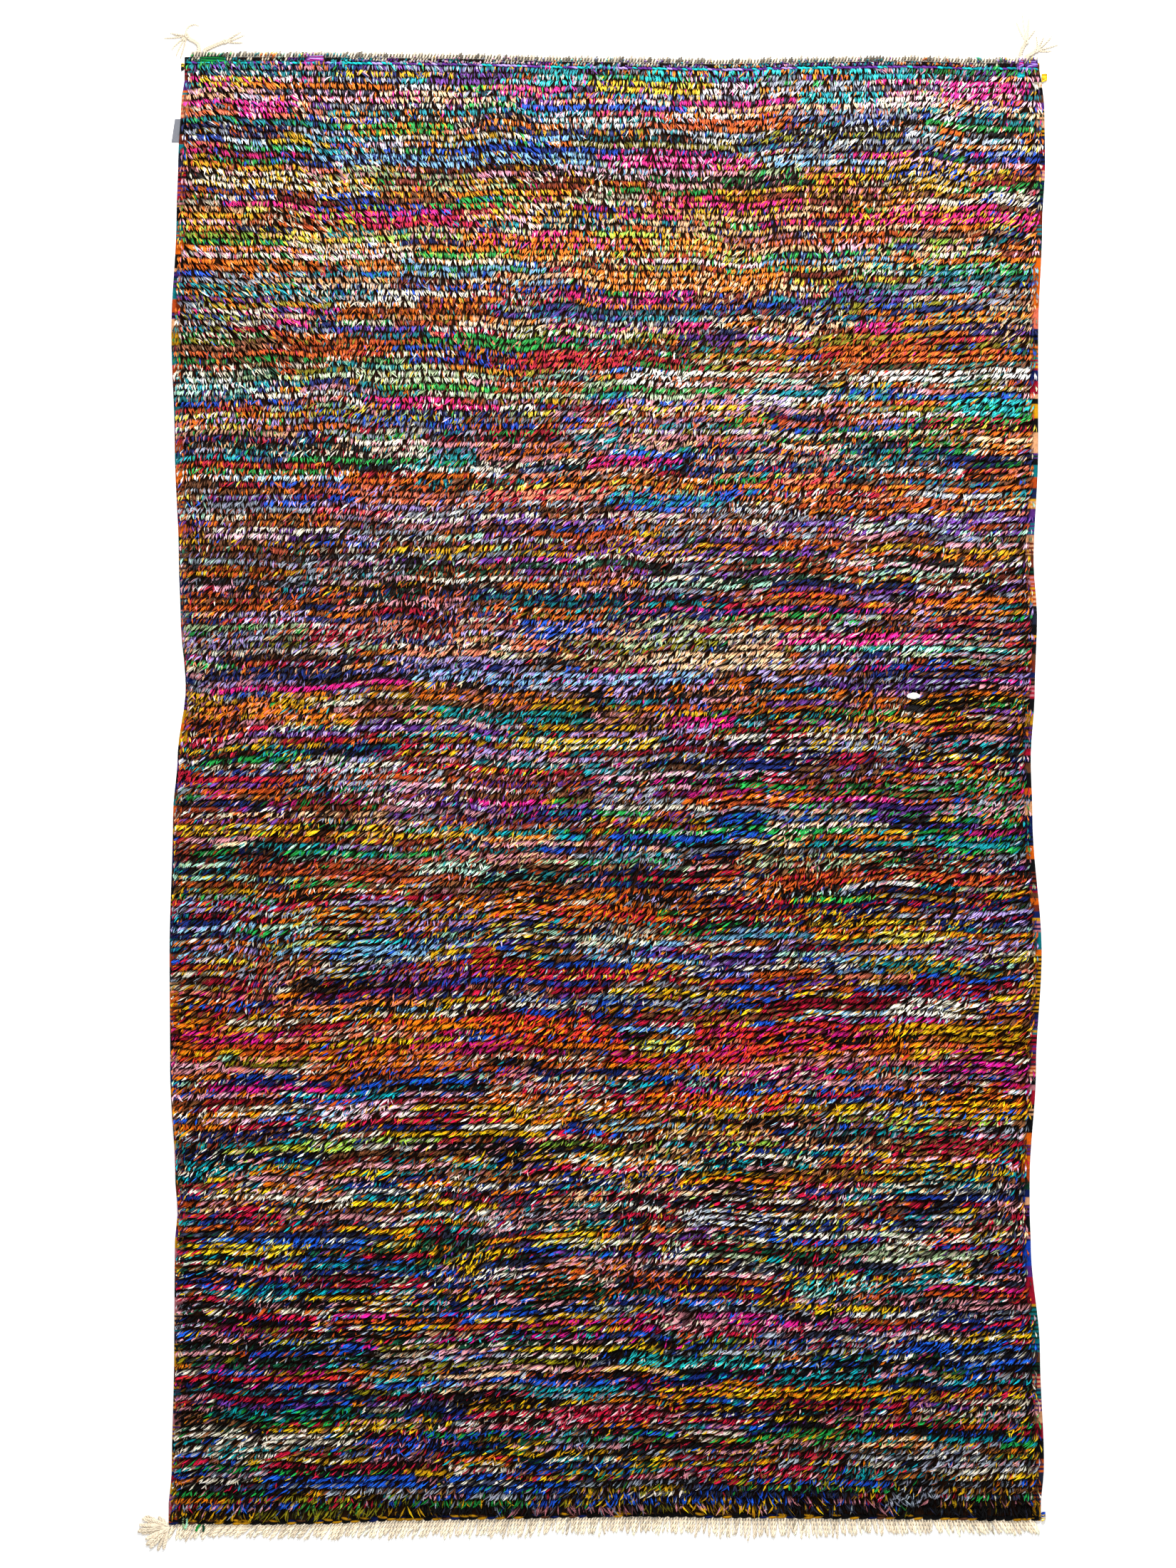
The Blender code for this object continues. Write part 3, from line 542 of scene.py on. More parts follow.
def plain_weave_group():
    """Weft ribs over warps on object coordinates: a height, and the colour painted darker in the hollows between the
    ribs as shade.
    """
    found = bpy.data.node_groups.get("plain_weave")
    if found:
        return found
    tree, start, end = new_group(
        "plain_weave",
        (
            ("Colour", "NodeSocketColor", (0.5, 0.5, 0.5, 1.0)),
            ("Warp pitch", "NodeSocketFloat", 0.004),
            ("Weft pitch", "NodeSocketFloat", 0.002),
            ("Depth", "NodeSocketFloat", 0.5),
        ),
        (("Colour", "NodeSocketColor"), ("Height", "NodeSocketFloat")),
    )
    coords = tree.nodes.new("ShaderNodeTexCoord")
    split = tree.nodes.new("ShaderNodeSeparateXYZ")
    tree.links.new(coords.outputs["Object"], split.inputs[0])
    warp = add_math(tree, "DIVIDE", split.outputs["X"], start.outputs["Warp pitch"])
    weft = add_math(tree, "DIVIDE", split.outputs["Y"], start.outputs["Weft pitch"])
    shift = add_math(tree, "MULTIPLY", add_math(tree, "FLOOR", warp, 0.0), 0.5)
    weft = add_math(tree, "ADD", weft, shift)
    bulge = add_math(tree, "SINE", add_math(tree, "MULTIPLY", warp, math.pi), 0.0)
    bulge = add_math(tree, "ABSOLUTE", bulge, 0.0)
    rib = add_math(tree, "SINE", add_math(tree, "MULTIPLY", weft, math.pi), 0.0)
    rib = add_math(tree, "ABSOLUTE", rib, 0.0)
    height = add_math(tree, "MULTIPLY", bulge, rib)
    # Painted shade: the colour darkens where the weave sinks and lightens on the ribs
    lift = add_math(tree, "MULTIPLY", add_math(tree, "SUBTRACT", height, 0.6), start.outputs["Depth"])
    tint = tree.nodes.new("ShaderNodeVectorMath")
    tint.operation = "SCALE"
    tree.links.new(start.outputs["Colour"], tint.inputs[0])
    tree.links.new(add_math(tree, "ADD", lift, 1.0), tint.inputs["Scale"])
    tree.links.new(tint.outputs[0], end.inputs["Colour"])
    tree.links.new(height, end.inputs["Height"])
    return tree


def new_material(name):
    made = bpy.data.materials.new(name)
    made.use_nodes = True
    shader = made.node_tree.nodes["Principled BSDF"]
    shader.inputs["Specular IOR Level"].default_value = 0.08
    shader.inputs["Roughness"].default_value = 0.92
    return made, made.node_tree, shader


def add_group(tree, group, **values):
    node = tree.nodes.new("ShaderNodeGroup")
    node.node_tree = group
    for label, value in values.items():
        node.inputs[label.replace("_", " ")].default_value = value
    return node


def add_bump(tree, shader, height, strength, distance):
    bump = tree.nodes.new("ShaderNodeBump")
    bump.inputs["Strength"].default_value = strength
    bump.inputs["Distance"].default_value = distance
    tree.links.new(height, bump.inputs["Height"])
    tree.links.new(bump.outputs[0], shader.inputs["Normal"])


LOCK_GRAIN = (900.0, 130.0, 1.0)
FINE_GRAIN = (1300.0, 1300.0, 1300.0)
WARP_GRAIN = (1400.0, 500.0, 1400.0)


def add_fibres(tree, grain, depth, by_uv=False):
    """The wool fibres group, fed with object coordinates or the piece's own map, at this grain."""
    mapping = tree.nodes.new("ShaderNodeMapping")
    mapping.inputs["Scale"].default_value = grain
    if by_uv:
        source = tree.nodes.new("ShaderNodeUVMap")
        source.uv_map = "OFBake"
        tree.links.new(source.outputs["UV"], mapping.inputs["Vector"])
    else:
        source = tree.nodes.new("ShaderNodeTexCoord")
        tree.links.new(source.outputs["Object"], mapping.inputs["Vector"])
    fibres = add_group(tree, wool_fibres_group(), Depth=depth)
    tree.links.new(mapping.outputs["Vector"], fibres.inputs["Grain"])
    return fibres


def dyed_wool(name, grain, depth=0.45, sheen=0.02, by_uv=False):
    """Wool in the colours of the piece's dye attribute, painted shade and light included, with fine fibres along it."""
    found = bpy.data.materials.get(name)
    if found:
        return found
    made, tree, shader = new_material(name)
    shader.inputs["Sheen Weight"].default_value = sheen
    shader.inputs["Sheen Roughness"].default_value = 0.5
    dyes = tree.nodes.new("ShaderNodeAttribute")
    dyes.attribute_name = "dye"
    fibres = add_fibres(tree, grain, depth, by_uv)
    tree.links.new(dyes.outputs["Color"], fibres.inputs["Colour"])
    tree.links.new(fibres.outputs["Colour"], shader.inputs["Base Color"])
    tree.links.new(fibres.outputs["Roughness"], shader.inputs["Roughness"])
    add_bump(tree, shader, fibres.outputs["Height"], 0.5, 0.0006)
    return made


def woven_wool(name, tint, warp, weft, depth):
    """Plain-woven cloth of one colour."""
    made, tree, shader = new_material(name)
    weave = add_group(
        tree, plain_weave_group(), Colour=(*tint, 1.0), Warp_pitch=warp, Weft_pitch=weft, Depth=depth
    )
    fibres = add_fibres(tree, (1500.0, 1500.0, 1500.0), 0.3)
    tree.links.new(weave.outputs["Colour"], fibres.inputs["Colour"])
    tree.links.new(fibres.outputs["Colour"], shader.inputs["Base Color"])
    add_bump(tree, shader, weave.outputs["Height"], 0.8, 0.0008)
    return made


def knotted_back(name):
    """The underside: rows of flat knots in the pile's colours, painted darker in the hollows of the weave as shade."""
    made, tree, shader = new_material(name)
    pitch = sizes().row_pitch
    coords = tree.nodes.new("ShaderNodeTexCoord")
    split = tree.nodes.new("ShaderNodeSeparateXYZ")
    tree.links.new(coords.outputs["Object"], split.inputs[0])
    row = add_math(tree, "DIVIDE", split.outputs["Y"], pitch)
    run = add_math(tree, "DIVIDE", split.outputs["X"], 0.055)
    step = add_math(tree, "FLOOR", row, 0.0)
    run = add_math(tree, "ADD", run, add_math(tree, "MULTIPLY", step, 0.37))
    cell = tree.nodes.new("ShaderNodeCombineXYZ")
    tree.links.new(add_math(tree, "FLOOR", run, 0.0), cell.inputs["X"])
    tree.links.new(step, cell.inputs["Y"])
    pick = tree.nodes.new("ShaderNodeTexWhiteNoise")
    pick.noise_dimensions = "2D"
    tree.links.new(cell.outputs[0], pick.inputs["Vector"])
    ramp = tree.nodes.new("ShaderNodeValToRGB")
    ramp.color_ramp.interpolation = "CONSTANT"
    names = ("black", "rust", "cream", "navy", "crimson", "mustard", "grey", "teal", "rose", "brown", "royal", "orange")
    for i, name_of in enumerate(names):
        stop = ramp.color_ramp.elements[i] if i < 2 else ramp.color_ramp.elements.new(0.5)
        stop.position = i / len(names)
        stop.color = (*colour(name_of), 1.0)
    tree.links.new(pick.outputs["Value"], ramp.inputs["Fac"])
    weave = add_group(
        tree, plain_weave_group(), Warp_pitch=sizes().knot_pitch, Weft_pitch=pitch / 2, Depth=0.9
    )
    tree.links.new(ramp.outputs["Color"], weave.inputs["Colour"])
    fibres = add_fibres(tree, (1200.0, 1200.0, 1200.0), 0.35)
    tree.links.new(weave.outputs["Colour"], fibres.inputs["Colour"])
    tree.links.new(fibres.outputs["Colour"], shader.inputs["Base Color"])
    add_bump(tree, shader, weave.outputs["Height"], 0.8, 0.0010)
    return made


# Meshes


Pattern = namedtuple("Pattern", "ring x y corners starts spread")


def strand_pattern(rings, sides, pointed=()):
    """One closed strand drawn up ring by ring from a short cylinder, and where its corners lie when unrolled."""
    bm = bmesh.new()
    bmesh.ops.create_cone(bm, cap_ends=True, segments=sides, radius1=1.0, radius2=1.0, depth=1.0)
    bmesh.ops.translate(bm, verts=bm.verts, vec=(0.0, 0.0, 0.5))
    tip = max(bm.faces, key=lambda face: face.calc_center_median().z)
    for _ in range(rings - 2):
        tip = bmesh.ops.extrude_discrete_faces(bm, faces=[tip])["faces"][0]
        bmesh.ops.translate(bm, verts=tip.verts, vec=(0.0, 0.0, 1.0))
    for end in pointed:
        circle = [vert for vert in bm.verts if abs(vert.co.z - end) < 0.5]
        bmesh.ops.pointmerge(bm, verts=circle, merge_co=(0.0, 0.0, end))
    bmesh.ops.recalc_face_normals(bm, faces=bm.faces)
    bm.verts.index_update()
    co = np.array([vert.co for vert in bm.verts])
    corners, starts, spread = [], [], []
    for face in bm.faces:
        starts.append(len(corners))
        flat = len({round(vert.co.z) for vert in face.verts}) == 1
        turns = [math.atan2(vert.co.y, vert.co.x) / (2 * math.pi) % 1.0 for vert in face.verts]
        middle = face.calc_center_median()
        centre = math.atan2(middle.y, middle.x) / (2 * math.pi) % 1.0
        for vert, turn in zip(face.verts, turns):
            corners.append(vert.index)
            if flat:
                high = 0.75 if vert.co.z > 0.5 else 0.25
                spread.append((0.90 + 0.08 * vert.co.x, high + 0.2 * vert.co.y))
                continue
            if vert.co.x == 0.0 and vert.co.y == 0.0:
                turn = centre
            elif turn - centre > 0.5:
                turn -= 1.0
            elif centre - turn > 0.5:
                turn += 1.0
            spread.append((0.08 + 0.68 * turn, vert.co.z / (rings - 1)))
    bm.free()
    return Pattern(
        np.rint(co[:, 2]).astype(int),
        co[:, 0],
        co[:, 1],
        np.array(corners),
        np.array(starts),
        np.array(spread),
    )


def lock_pattern():
    """One lock of wool as a closed kite of four faces: a root, two shoulders and a tip."""
    bm = bmesh.new()
    bmesh.ops.create_cone(bm, cap_ends=True, segments=3, radius1=1.0, radius2=0.0, depth=1.0)
    tip = max(bm.verts, key=lambda vert: vert.co.z)
    root = max((vert for vert in bm.verts if vert is not tip), key=lambda vert: vert.co.y)
    left, right = sorted((vert for vert in bm.verts if vert not in (tip, root)), key=lambda vert: vert.co.x)
    for vert, spot in ((root, (0, 0, 0)), (left, (-1, 0.5, 1)), (right, (1, 0.5, 1)), (tip, (0, 0, 2))):
        vert.co = spot
    bmesh.ops.recalc_face_normals(bm, faces=bm.faces)
    bm.verts.index_update()
    co = np.array([vert.co for vert in bm.verts])
    corners, starts, spread = [], [], []
    for face in bm.faces:
        starts.append(len(corners))
        middle = 0.25 if left in face.verts and right in face.verts else 0.75
        for vert in face.verts:
            corners.append(vert.index)
            spread.append((middle + 0.2 * vert.co.x, 0.02 + 0.48 * vert.co.z))
    bm.free()
    ring = np.rint(co[:, 2]).astype(int)
    return Pattern(ring, co[:, 0], co[:, 1] * 0, np.array(corners), np.array(starts), np.array(spread))


def unit(vectors):
    return vectors / np.maximum(np.linalg.norm(vectors, axis=-1, keepdims=True), 1e-9)


def new_mesh(name, co, corners, starts, finish, smooth=True):
    mesh = bpy.data.meshes.new(name)
    mesh.vertices.add(len(co))
    mesh.vertices.foreach_set("co", co.ravel())
    mesh.loops.add(len(corners))
    mesh.loops.foreach_set("vertex_index", corners)
    mesh.polygons.add(len(starts))
    mesh.polygons.foreach_set("loop_start", starts)
    mesh.update(calc_edges=True)
    mesh.polygons.foreach_set("use_smooth", np.full(len(starts), smooth))
    mesh.materials.append(finish)
    return mesh


def set_dyes(mesh, dyes):
    """Writes one colour for each vertex to the piece's dye attribute, which also holds the painted shade and light
    multiplied into the pile, the fringe and the selvedges.
    """
    layer = mesh.color_attributes.new(name="dye", type="FLOAT_COLOR", domain="POINT")
    rgba = np.concatenate([np.clip(dyes, 0.0, 1.0), np.ones((len(dyes), 1))], axis=1)
    layer.data.foreach_set("color", rgba.ravel())


def strands_mesh(name, pattern, spines, radii, dyes, finish, painted_shading=None, roll=None):
    """Many like strands in one mesh. spines is strands by rings by 3, radii strands by rings, dyes strands by 3.

    The dye is dimmed and brightened ring by ring by painted shade and light, and roll turns each strand about its own
    middle and leaves its faces flat.
    """
    count, rings = radii.shape
    ahead = unit(np.gradient(spines, axis=1))
    side = unit(np.cross(UP, ahead))
    lift = np.cross(ahead, side)
    if roll is not None:
        turn = roll[:, None, None]
        side, lift = np.cos(turn) * side - np.sin(turn) * lift, np.sin(turn) * side + np.cos(turn) * lift
    ring = pattern.ring
    out = pattern.x[:, None] * side[:, ring] + pattern.y[:, None] * lift[:, ring]
    co = spines[:, ring] + radii[:, ring, None] * out
    verts = len(ring)
    step = np.arange(count)[:, None]
    corners = (pattern.corners + step * verts).astype(np.int32).ravel()
    starts = (pattern.starts + step * len(pattern.corners)).astype(np.int32).ravel()
    mesh = new_mesh(name, co.reshape(-1, 3), corners, starts, finish, roll is None)
    # Painted shade and light, ring by ring, multiplied into each strand's dye
    shade = np.broadcast_to(np.ones(rings) if painted_shading is None else np.asarray(painted_shading), radii.shape)
    tinted = dyes[:, None, :] * shade[:, ring, None]
    set_dyes(mesh, tinted.reshape(-1, 3))
    columns = math.ceil(math.sqrt(count))
    cells = np.stack([np.arange(count) % columns, np.arange(count) // columns], axis=1)[:, None, :]
    spots = (cells + 0.04 + 0.92 * pattern.spread[None]) / columns
    mesh.uv_layers.new(name="OFBake").data.foreach_set("uv", spots.reshape(-1, 2).ravel())
    return mesh


def add_piece(name, mesh, slot, *nodes):
    """Puts a finished mesh in the scene as a piece that rides on the rug and stands for these CAD nodes."""
    piece = bpy.data.objects.new(name, mesh)
    bpy.context.scene.collection.objects.link(piece)
    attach(piece, "root")
    if nodes:
        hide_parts(*nodes)
    return piece


def two_ply(spines, twist, offset):
    """The middles of the two plies that wind round each strand's own middle, one after the other."""
    rings = spines.shape[1]
    ahead = unit(np.gradient(spines, axis=1))
    side = unit(np.cross(UP, ahead))
    lift = np.cross(ahead, side)
    run = np.concatenate(
        [np.zeros((len(spines), 1)), np.cumsum(np.linalg.norm(np.diff(spines, axis=1), axis=2), axis=1)], axis=1
    )
    plies = []
    for start in (0.0, math.pi):
        turn = start + 2 * math.pi * run / twist
        plies.append(spines + offset * (np.cos(turn)[..., None] * side + np.sin(turn)[..., None] * lift))
    return np.concatenate(plies)


def grid_mesh(name, columns, rows, shape, finish, closed=False):
    """A grid bent to shape(column, row), which may close round into a tube with its ends filled."""
    bm = bmesh.new()
    bmesh.ops.create_grid(bm, x_segments=columns, y_segments=rows, size=0.5)
    co = np.array([vert.co for vert in bm.verts])
    bent = shape(np.rint((co[:, 0] + 0.5) * columns), np.rint((co[:, 1] + 0.5) * rows))
    for vert, place_of in zip(bm.verts, bent):
        vert.co = place_of
    if closed:
        bmesh.ops.remove_doubles(bm, verts=bm.verts, dist=1e-6)
        bmesh.ops.holes_fill(bm, edges=[edge for edge in bm.edges if edge.is_boundary], sides=0)
    bmesh.ops.recalc_face_normals(bm, faces=bm.faces)
    for face in bm.faces:
        face.smooth = len(face.verts) == 4
    mesh = bpy.data.meshes.new(name)
    bm.to_mesh(mesh)
    bm.free()
    mesh.materials.append(finish)
    return mesh


# Pieces


def weave_foundation():
    """The woven ground under the pile: dark wefts on top, darkened to almost black as painted shade under the locks,
    and the knots' backs underneath.
    """
    inset = sizes().selvedge - 0.001
    low = 0.0003
    columns, rows = 60, 100

    def shape(column, row):
        share = column / columns
        x, y = place(share, row / rows)
        x += inset * (1 - 2 * share)
        return np.stack([x, y, np.full_like(x, sizes().cloth)], axis=1)

    # The dark wefts are darkened to almost black, as painted shade under the locks
    mesh = grid_mesh("woven_ground", columns, rows, shape, woven_wool("dark_wefts_in_painted_shade", colour("brown") * 0.12, 0.0036, 0.0022, 0.8))
    mesh.materials.append(knotted_back("knotted_back"))
    bm = bmesh.new()
    bm.from_mesh(mesh)
    bmesh.ops.solidify(bm, geom=bm.faces, thickness=sizes().cloth - low)
    if min(vert.co.z for vert in bm.verts) < 0.0 or max(vert.co.z for vert in bm.verts) > sizes().cloth + 1e-4:
        lift = sizes().cloth - max(vert.co.z for vert in bm.verts)
        bmesh.ops.translate(bm, verts=bm.verts, vec=(0.0, 0.0, lift))
    bmesh.ops.recalc_face_normals(bm, faces=bm.faces)
    for face in bm.faces:
        face.smooth = False
        face.material_index = 1 if face.normal.z < -0.5 else 0
    bm.to_mesh(mesh)
    bm.free()
    return add_piece("woven_ground", mesh, "pile", "rug")


def yarn_table():
    """The yarns' names, their colours, and how often each is picked at each zone."""
    names = [name for name in DyedWools.__annotations__ if name != "natural"]
    weights = np.zeros((len(ZONES), len(names)))
    for zone, row in zip(ZONES, weights):
        words = zone.yarns.split()
        for name, weight in zip(words[::2], words[1::2]):
            row[names.index(name)] = float(weight)
    return names, np.array([colour(name) for name in names]), weights


RUN_LOCKS = (18, 160)
REPEAT_SHARE = 0.08
BLEND_SHARES = (0.54, 0.26, 0.12)
DYE_LOT_SPREAD = 0.26
LOCK_SPREAD = 0.10
HUE_SPREAD = 0.06
# How far the loose fibres pale the wools, by share of the length, and the colour that they show
BLOOM = ((0.0, 0.0), (0.3, 0.0), (0.55, 0.01), (0.8, 0.03), (1.0, 0.04))
BLOOM_TINT = np.array((0.50, 0.46, 0.45))


def dye_rows(rng, shares, columns):
    """The colour of every lock, row by row, in runs of three yarns that neighbouring rows now and then repeat,
    brightened and darkened by each zone's painted light and shade.
    """
    names, colours, weights = yarn_table()
    zone_shares = [zone.share for zone in ZONES]
    odds = np.stack([np.interp(shares, zone_shares, weights[:, k]) for k in range(len(names))], axis=1)
    odds /= odds.sum(axis=1, keepdims=True)
    # Each zone's brightness is painted light and shade along the length
    light = np.interp(shares, zone_shares, [zone.light for zone in ZONES])
    picked = np.zeros((len(shares), columns), int)
    strength = np.ones((len(shares), columns))
    steps = np.cumsum(BLEND_SHARES)
    before = None
    for row in range(len(shares)):
        blends = np.zeros((columns, 3), int)
        at = 0
        while at < columns:
            run = int(RUN_LOCKS[0] * (RUN_LOCKS[1] / RUN_LOCKS[0]) ** rng.random())
            end = min(columns, at + run)
            if before is not None and rng.random() < REPEAT_SHARE:
                blends[at:end] = before[min(columns - 1, (at + end) // 2)]
            else:
                blends[at:end] = rng.choice(len(names), 3, p=odds[row])
            strength[row, at:end] = max(0.4, rng.normal(1.0, DYE_LOT_SPREAD))
            at = end
        draw = rng.random(columns)
        which = np.searchsorted(steps, draw)
        strays = rng.choice(len(names), columns, p=odds[row])
        picked[row] = np.concatenate([blends, strays[:, None]], axis=1)[np.arange(columns), which]
        before = blends
    for streak in STREAKS:
        top = int(np.argmin(np.abs(shares - streak.along)))
        for row in range(top, max(-1, top - streak.rows), -1):
            start = int(columns * streak.across + rng.integers(-12, 13))
            end = start + int(columns * streak.length / WIDTH) + int(rng.integers(-15, 16))
            where = np.arange(max(0, start), min(columns, end))
            where = where[rng.random(len(where)) < STREAK_PURITY]
            pure = rng.random(len(where)) < 0.68
            picked[row, where] = np.where(pure, names.index(streak.yarn), names.index(streak.other))
            strength[row, where] = 1.3
    # The zones' painted light and shade multiply into every lock's colour
    strength *= rng.normal(1.0, LOCK_SPREAD, strength.shape) * light[:, None]
    tilt = rng.normal(1.0, HUE_SPREAD, (*strength.shape, 3))
    bloom = np.interp(shares, *np.array(BLOOM).T)[:, None, None]
    return (colours[picked] * (1 - bloom) + BLOOM_TINT * bloom) * np.clip(strength, 0.4, 1.7)[..., None] * tilt


PILE_PARTS = 6
PILE_INSET = 0.0055
RIM_CLEAR = 0.0048
TOP_BORDER = 0.0100
COLLAR_BORDER = 0.0035
BOTTOM_BORDER = 0.0305
END_TAPER = 0.04
LOCKS = 2
LOCK_APART = 0.0019
OVERLAP = 1.20
FULLEST = 0.60
ROOT_HEIGHT = 0.0045
# Locks reach, lean and sit alike in small tufts, a few rows high
TUFT_SQUASH, TUFT_REACH, TUFT_LEAN, TUFT_SHIFT = 2.0, 0.09, 8.0, 0.0004
# Painted shade at each lock's root, where it hides under the row above, and a painted highlight at its tip
ROOT_SHADE, PAINTED_TIP_LIGHT = 0.02, 1.20
# Painted shade at a lock's fullest, as a share of its colour, at the fringed end and at the corded end
CROWN_SHADES = (0.50, 0.80)
# Painted shade by height: a knot set higher is painted lighter, a lower one darker
KNOT_SHADOW = 0.14
PALE_LIMIT = 0.24
# Painted shade by height for single locks, at the fringed end and at the corded end
LOCK_SHADOWS = (0.52, 0.21)
LOOSENESS = (24.0, 12.0)
# The share of locks that lie deep in the pile, at the fringed end and at the corded end, and the painted shade that
# darkens them
DEEP_SHARES = (0.29, 0.03)
DEEP_SHADE = 0.16


def knot_pile():
    """The shag: every knot's two locks of wool, tied row by row with their tips over the row below."""
    size = sizes()
    rng = np.random.default_rng(size.seed)
    rows = round((LENGTH - TOP_BORDER - BOTTOM_BORDER) / size.row_pitch) + 2
    columns = round((WIDTH - 2 * PILE_INSET) / size.knot_pitch)
    shares = np.linspace(BOTTOM_BORDER / LENGTH, 1 - TOP_BORDER / LENGTH, rows - 1)
    shares = np.append(shares, 1 - COLLAR_BORDER / LENGTH)
    dyes = dye_rows(rng, shares, columns * LOCKS)
    wander, waves, lumps, sway = Ripple(rng, 0.25), Ripple(rng, 0.9), Ripple(rng, 0.11), Ripple(rng, 0.40)
    tuft_reach, tuft_lean, tuft_shift = Ripple(rng, 0.045), Ripple(rng, 0.055), Ripple(rng, 0.035)

    row = np.repeat(np.arange(rows), columns)
    column = np.tile(np.arange(columns), rows)
    knots = len(row)
    inset = PILE_INSET / WIDTH
    across = inset + (1 - 2 * inset) * (column + 0.5 + rng.uniform(-0.5, 0.5, knots)) / columns
    x, y = place(across, shares[row])
    taper = np.clip(np.minimum(shares[row], 1 - shares[row]) / END_TAPER, 0.15, 1.0)
    y = y + (wander.at(x, y) * 0.0028 + waves.at(x, y) * 0.0050) * taper
    lean = np.zeros(knots)
    for low, high in ((0, "left"), (1, "centre"), (2, "right")):
        weight = np.clip(1 - np.abs(across - low / 2) * 2, 0, 1)
        lean += weight * table_at(LEANS, high, shares[row])
    lean += sway.at(x, y) * 9 + tuft_lean.at(x, y * TUFT_SQUASH) * TUFT_LEAN
    steep = np.cos(np.radians(lean))
    loose = np.clip((steep - 0.5) / 0.35, 0.0, 1.0)
    y = y + rng.normal(0.0, 1.0, knots) * (0.0004 + 0.0004 * loose)
    y = y + tuft_shift.at(x, y * TUFT_SQUASH) * TUFT_SHIFT
    down = np.minimum(size.row_pitch * (OVERLAP + 0.12 * loose), size.lock_length * steep)
    down = down * (1 + rng.normal(0.0, 1.0, knots) * (0.04 + 0.05 * loose))
    down = down * (1 + tuft_reach.at(x, y * TUFT_SQUASH) * TUFT_REACH)
    down = np.where(row < 2, down * (1.55 - 0.3 * row), down)
    edge = np.minimum(column, columns - 1 - column)
    lean = np.where(lean * (across - 0.5) > 0, lean * np.clip(edge / 5, 0.1, 1.0), lean)
    lean += rng.normal(0.0, 1.0, knots) * np.interp(shares[row], (0, 1), LOOSENESS)
    lift = rng.normal(0.0, 1.0, knots)
    height = size.pile_height + lumps.at(x, y) * 0.0010 + lift * 0.0007
    outward = np.where(column < columns / 2, -1.0, 1.0) * np.clip(1.5 - edge / 2, 0, 1)
    collar = row == rows - 1
    tufted = np.zeros(knots, bool)
    for streak in STREAKS:
        tufted |= (streak.along > 0.998) & (across > streak.across) & (across < streak.across + streak.length / WIDTH)
    down = np.where(collar, np.where(tufted, 0.95, 0.45) * down, down)
    down = np.where(collar & (rng.random(knots) < np.where(tufted, 0.45, 0.25)), -0.75 * down, down)

    # Each knot's two locks lie side by side
    place_in = np.tile(np.arange(LOCKS) - 0.5, knots)
    row, x, y, lean, down, lift, height, outward = (
        np.repeat(values, LOCKS) for values in (row, x, y, lean, down, lift, height, outward)
    )
    count = len(row)
    hanging = row < 2
    lean = np.radians(np.clip(lean + rng.normal(0.0, 10.0, count), -72, 72))
    down = down * rng.normal(1.0, 0.06, count)
    aside = np.clip(np.abs(down) * np.tan(lean), -0.021, 0.021) + outward * 0.005
    own = rng.normal(0.0, 1.0, count)
    deep = rng.random(count) < np.interp(shares[row], (0.2, 0.9), DEEP_SHARES)
    height = np.clip(height + own * 0.0009 - deep * 0.0012, 0.0105, 0.0195)
    tip_height = height - 0.0020 - rng.uniform(0.0, 0.0025, count)
    tip_height = np.where(hanging, tip_height - 0.0045, tip_height)
    # Painted shade: the higher a knot and a lock sit, the lighter they are painted, deep locks are painted dark, and
    # the rest are brightened more towards the fringed end
    shade = np.exp(KNOT_SHADOW * lift + np.interp(shares[row], (0.2, 0.9), LOCK_SHADOWS) * own)
    shade = np.where(deep, DEEP_SHADE, shade * np.interp(shares[row], (0.2, 0.9), (1.69, 1.16)))
    tints = dyes.reshape(-1, 3) * np.clip(shade, 0.1, 2.8)[:, None]
    tints = tints / (1 + PALE_LIMIT * tints)

    apart = place_in * LOCK_APART
    bounds = np.stack([np.interp(y, *EDGES["left"]) + RIM_CLEAR, np.interp(y, *EDGES["right"]) - RIM_CLEAR])

    def at(share, spread, z):
        reached = np.clip(x + aside * share + np.cos(lean) * apart * spread, *bounds)
        return np.stack([reached, y - down * share + np.sin(lean) * apart * spread, z], axis=1)

    spines = np.stack(
        [at(0.0, 0.6, np.full(count, ROOT_HEIGHT)), at(FULLEST, 1.0, height), at(1.0, 0.8, tip_height)], axis=1
    )
    thick = size.lock_radius * np.clip(rng.normal(1.0, 0.20, count), 0.5, 1.6)[:, None]
    radii = thick * np.array((0.0, 1.0, 0.0))
    roll = place_in * 0.5 + rng.normal(0.0, 0.5, count)
    # Painted shade and light along each lock: dark at the root, dimmer at its fullest, brightest at the tip
    crown = np.interp(shares[row], (0.0, 1.0), CROWN_SHADES)
    painted_shading = np.stack([np.full(count, ROOT_SHADE), crown, np.full(count, PAINTED_TIP_LIGHT)], axis=1)
    pattern = lock_pattern()
    finish = dyed_wool("pile_wool", LOCK_GRAIN, 0.6, by_uv=True)
    pieces = []
    for part in range(PILE_PARTS):
        chosen = (row >= part * rows // PILE_PARTS) & (row < (part + 1) * rows // PILE_PARTS)
        name = f"pile_{part + 1}"
        mesh = strands_mesh(
            name, pattern, spines[chosen], radii[chosen], tints[chosen], finish, painted_shading[chosen], roll[chosen]
        )
        pieces.append(add_piece(name, mesh, "pile"))
    return pieces


SELVEDGE_WOOLS = (
    "black", "black", "black", "navy", "chestnut", "rust", "purple", "orange", "crimson", "mustard", "teal", "brown",
    "charcoal", "bottle_green", "rose", "peach", "black", "navy",
)
RIB_PITCH = 0.0038
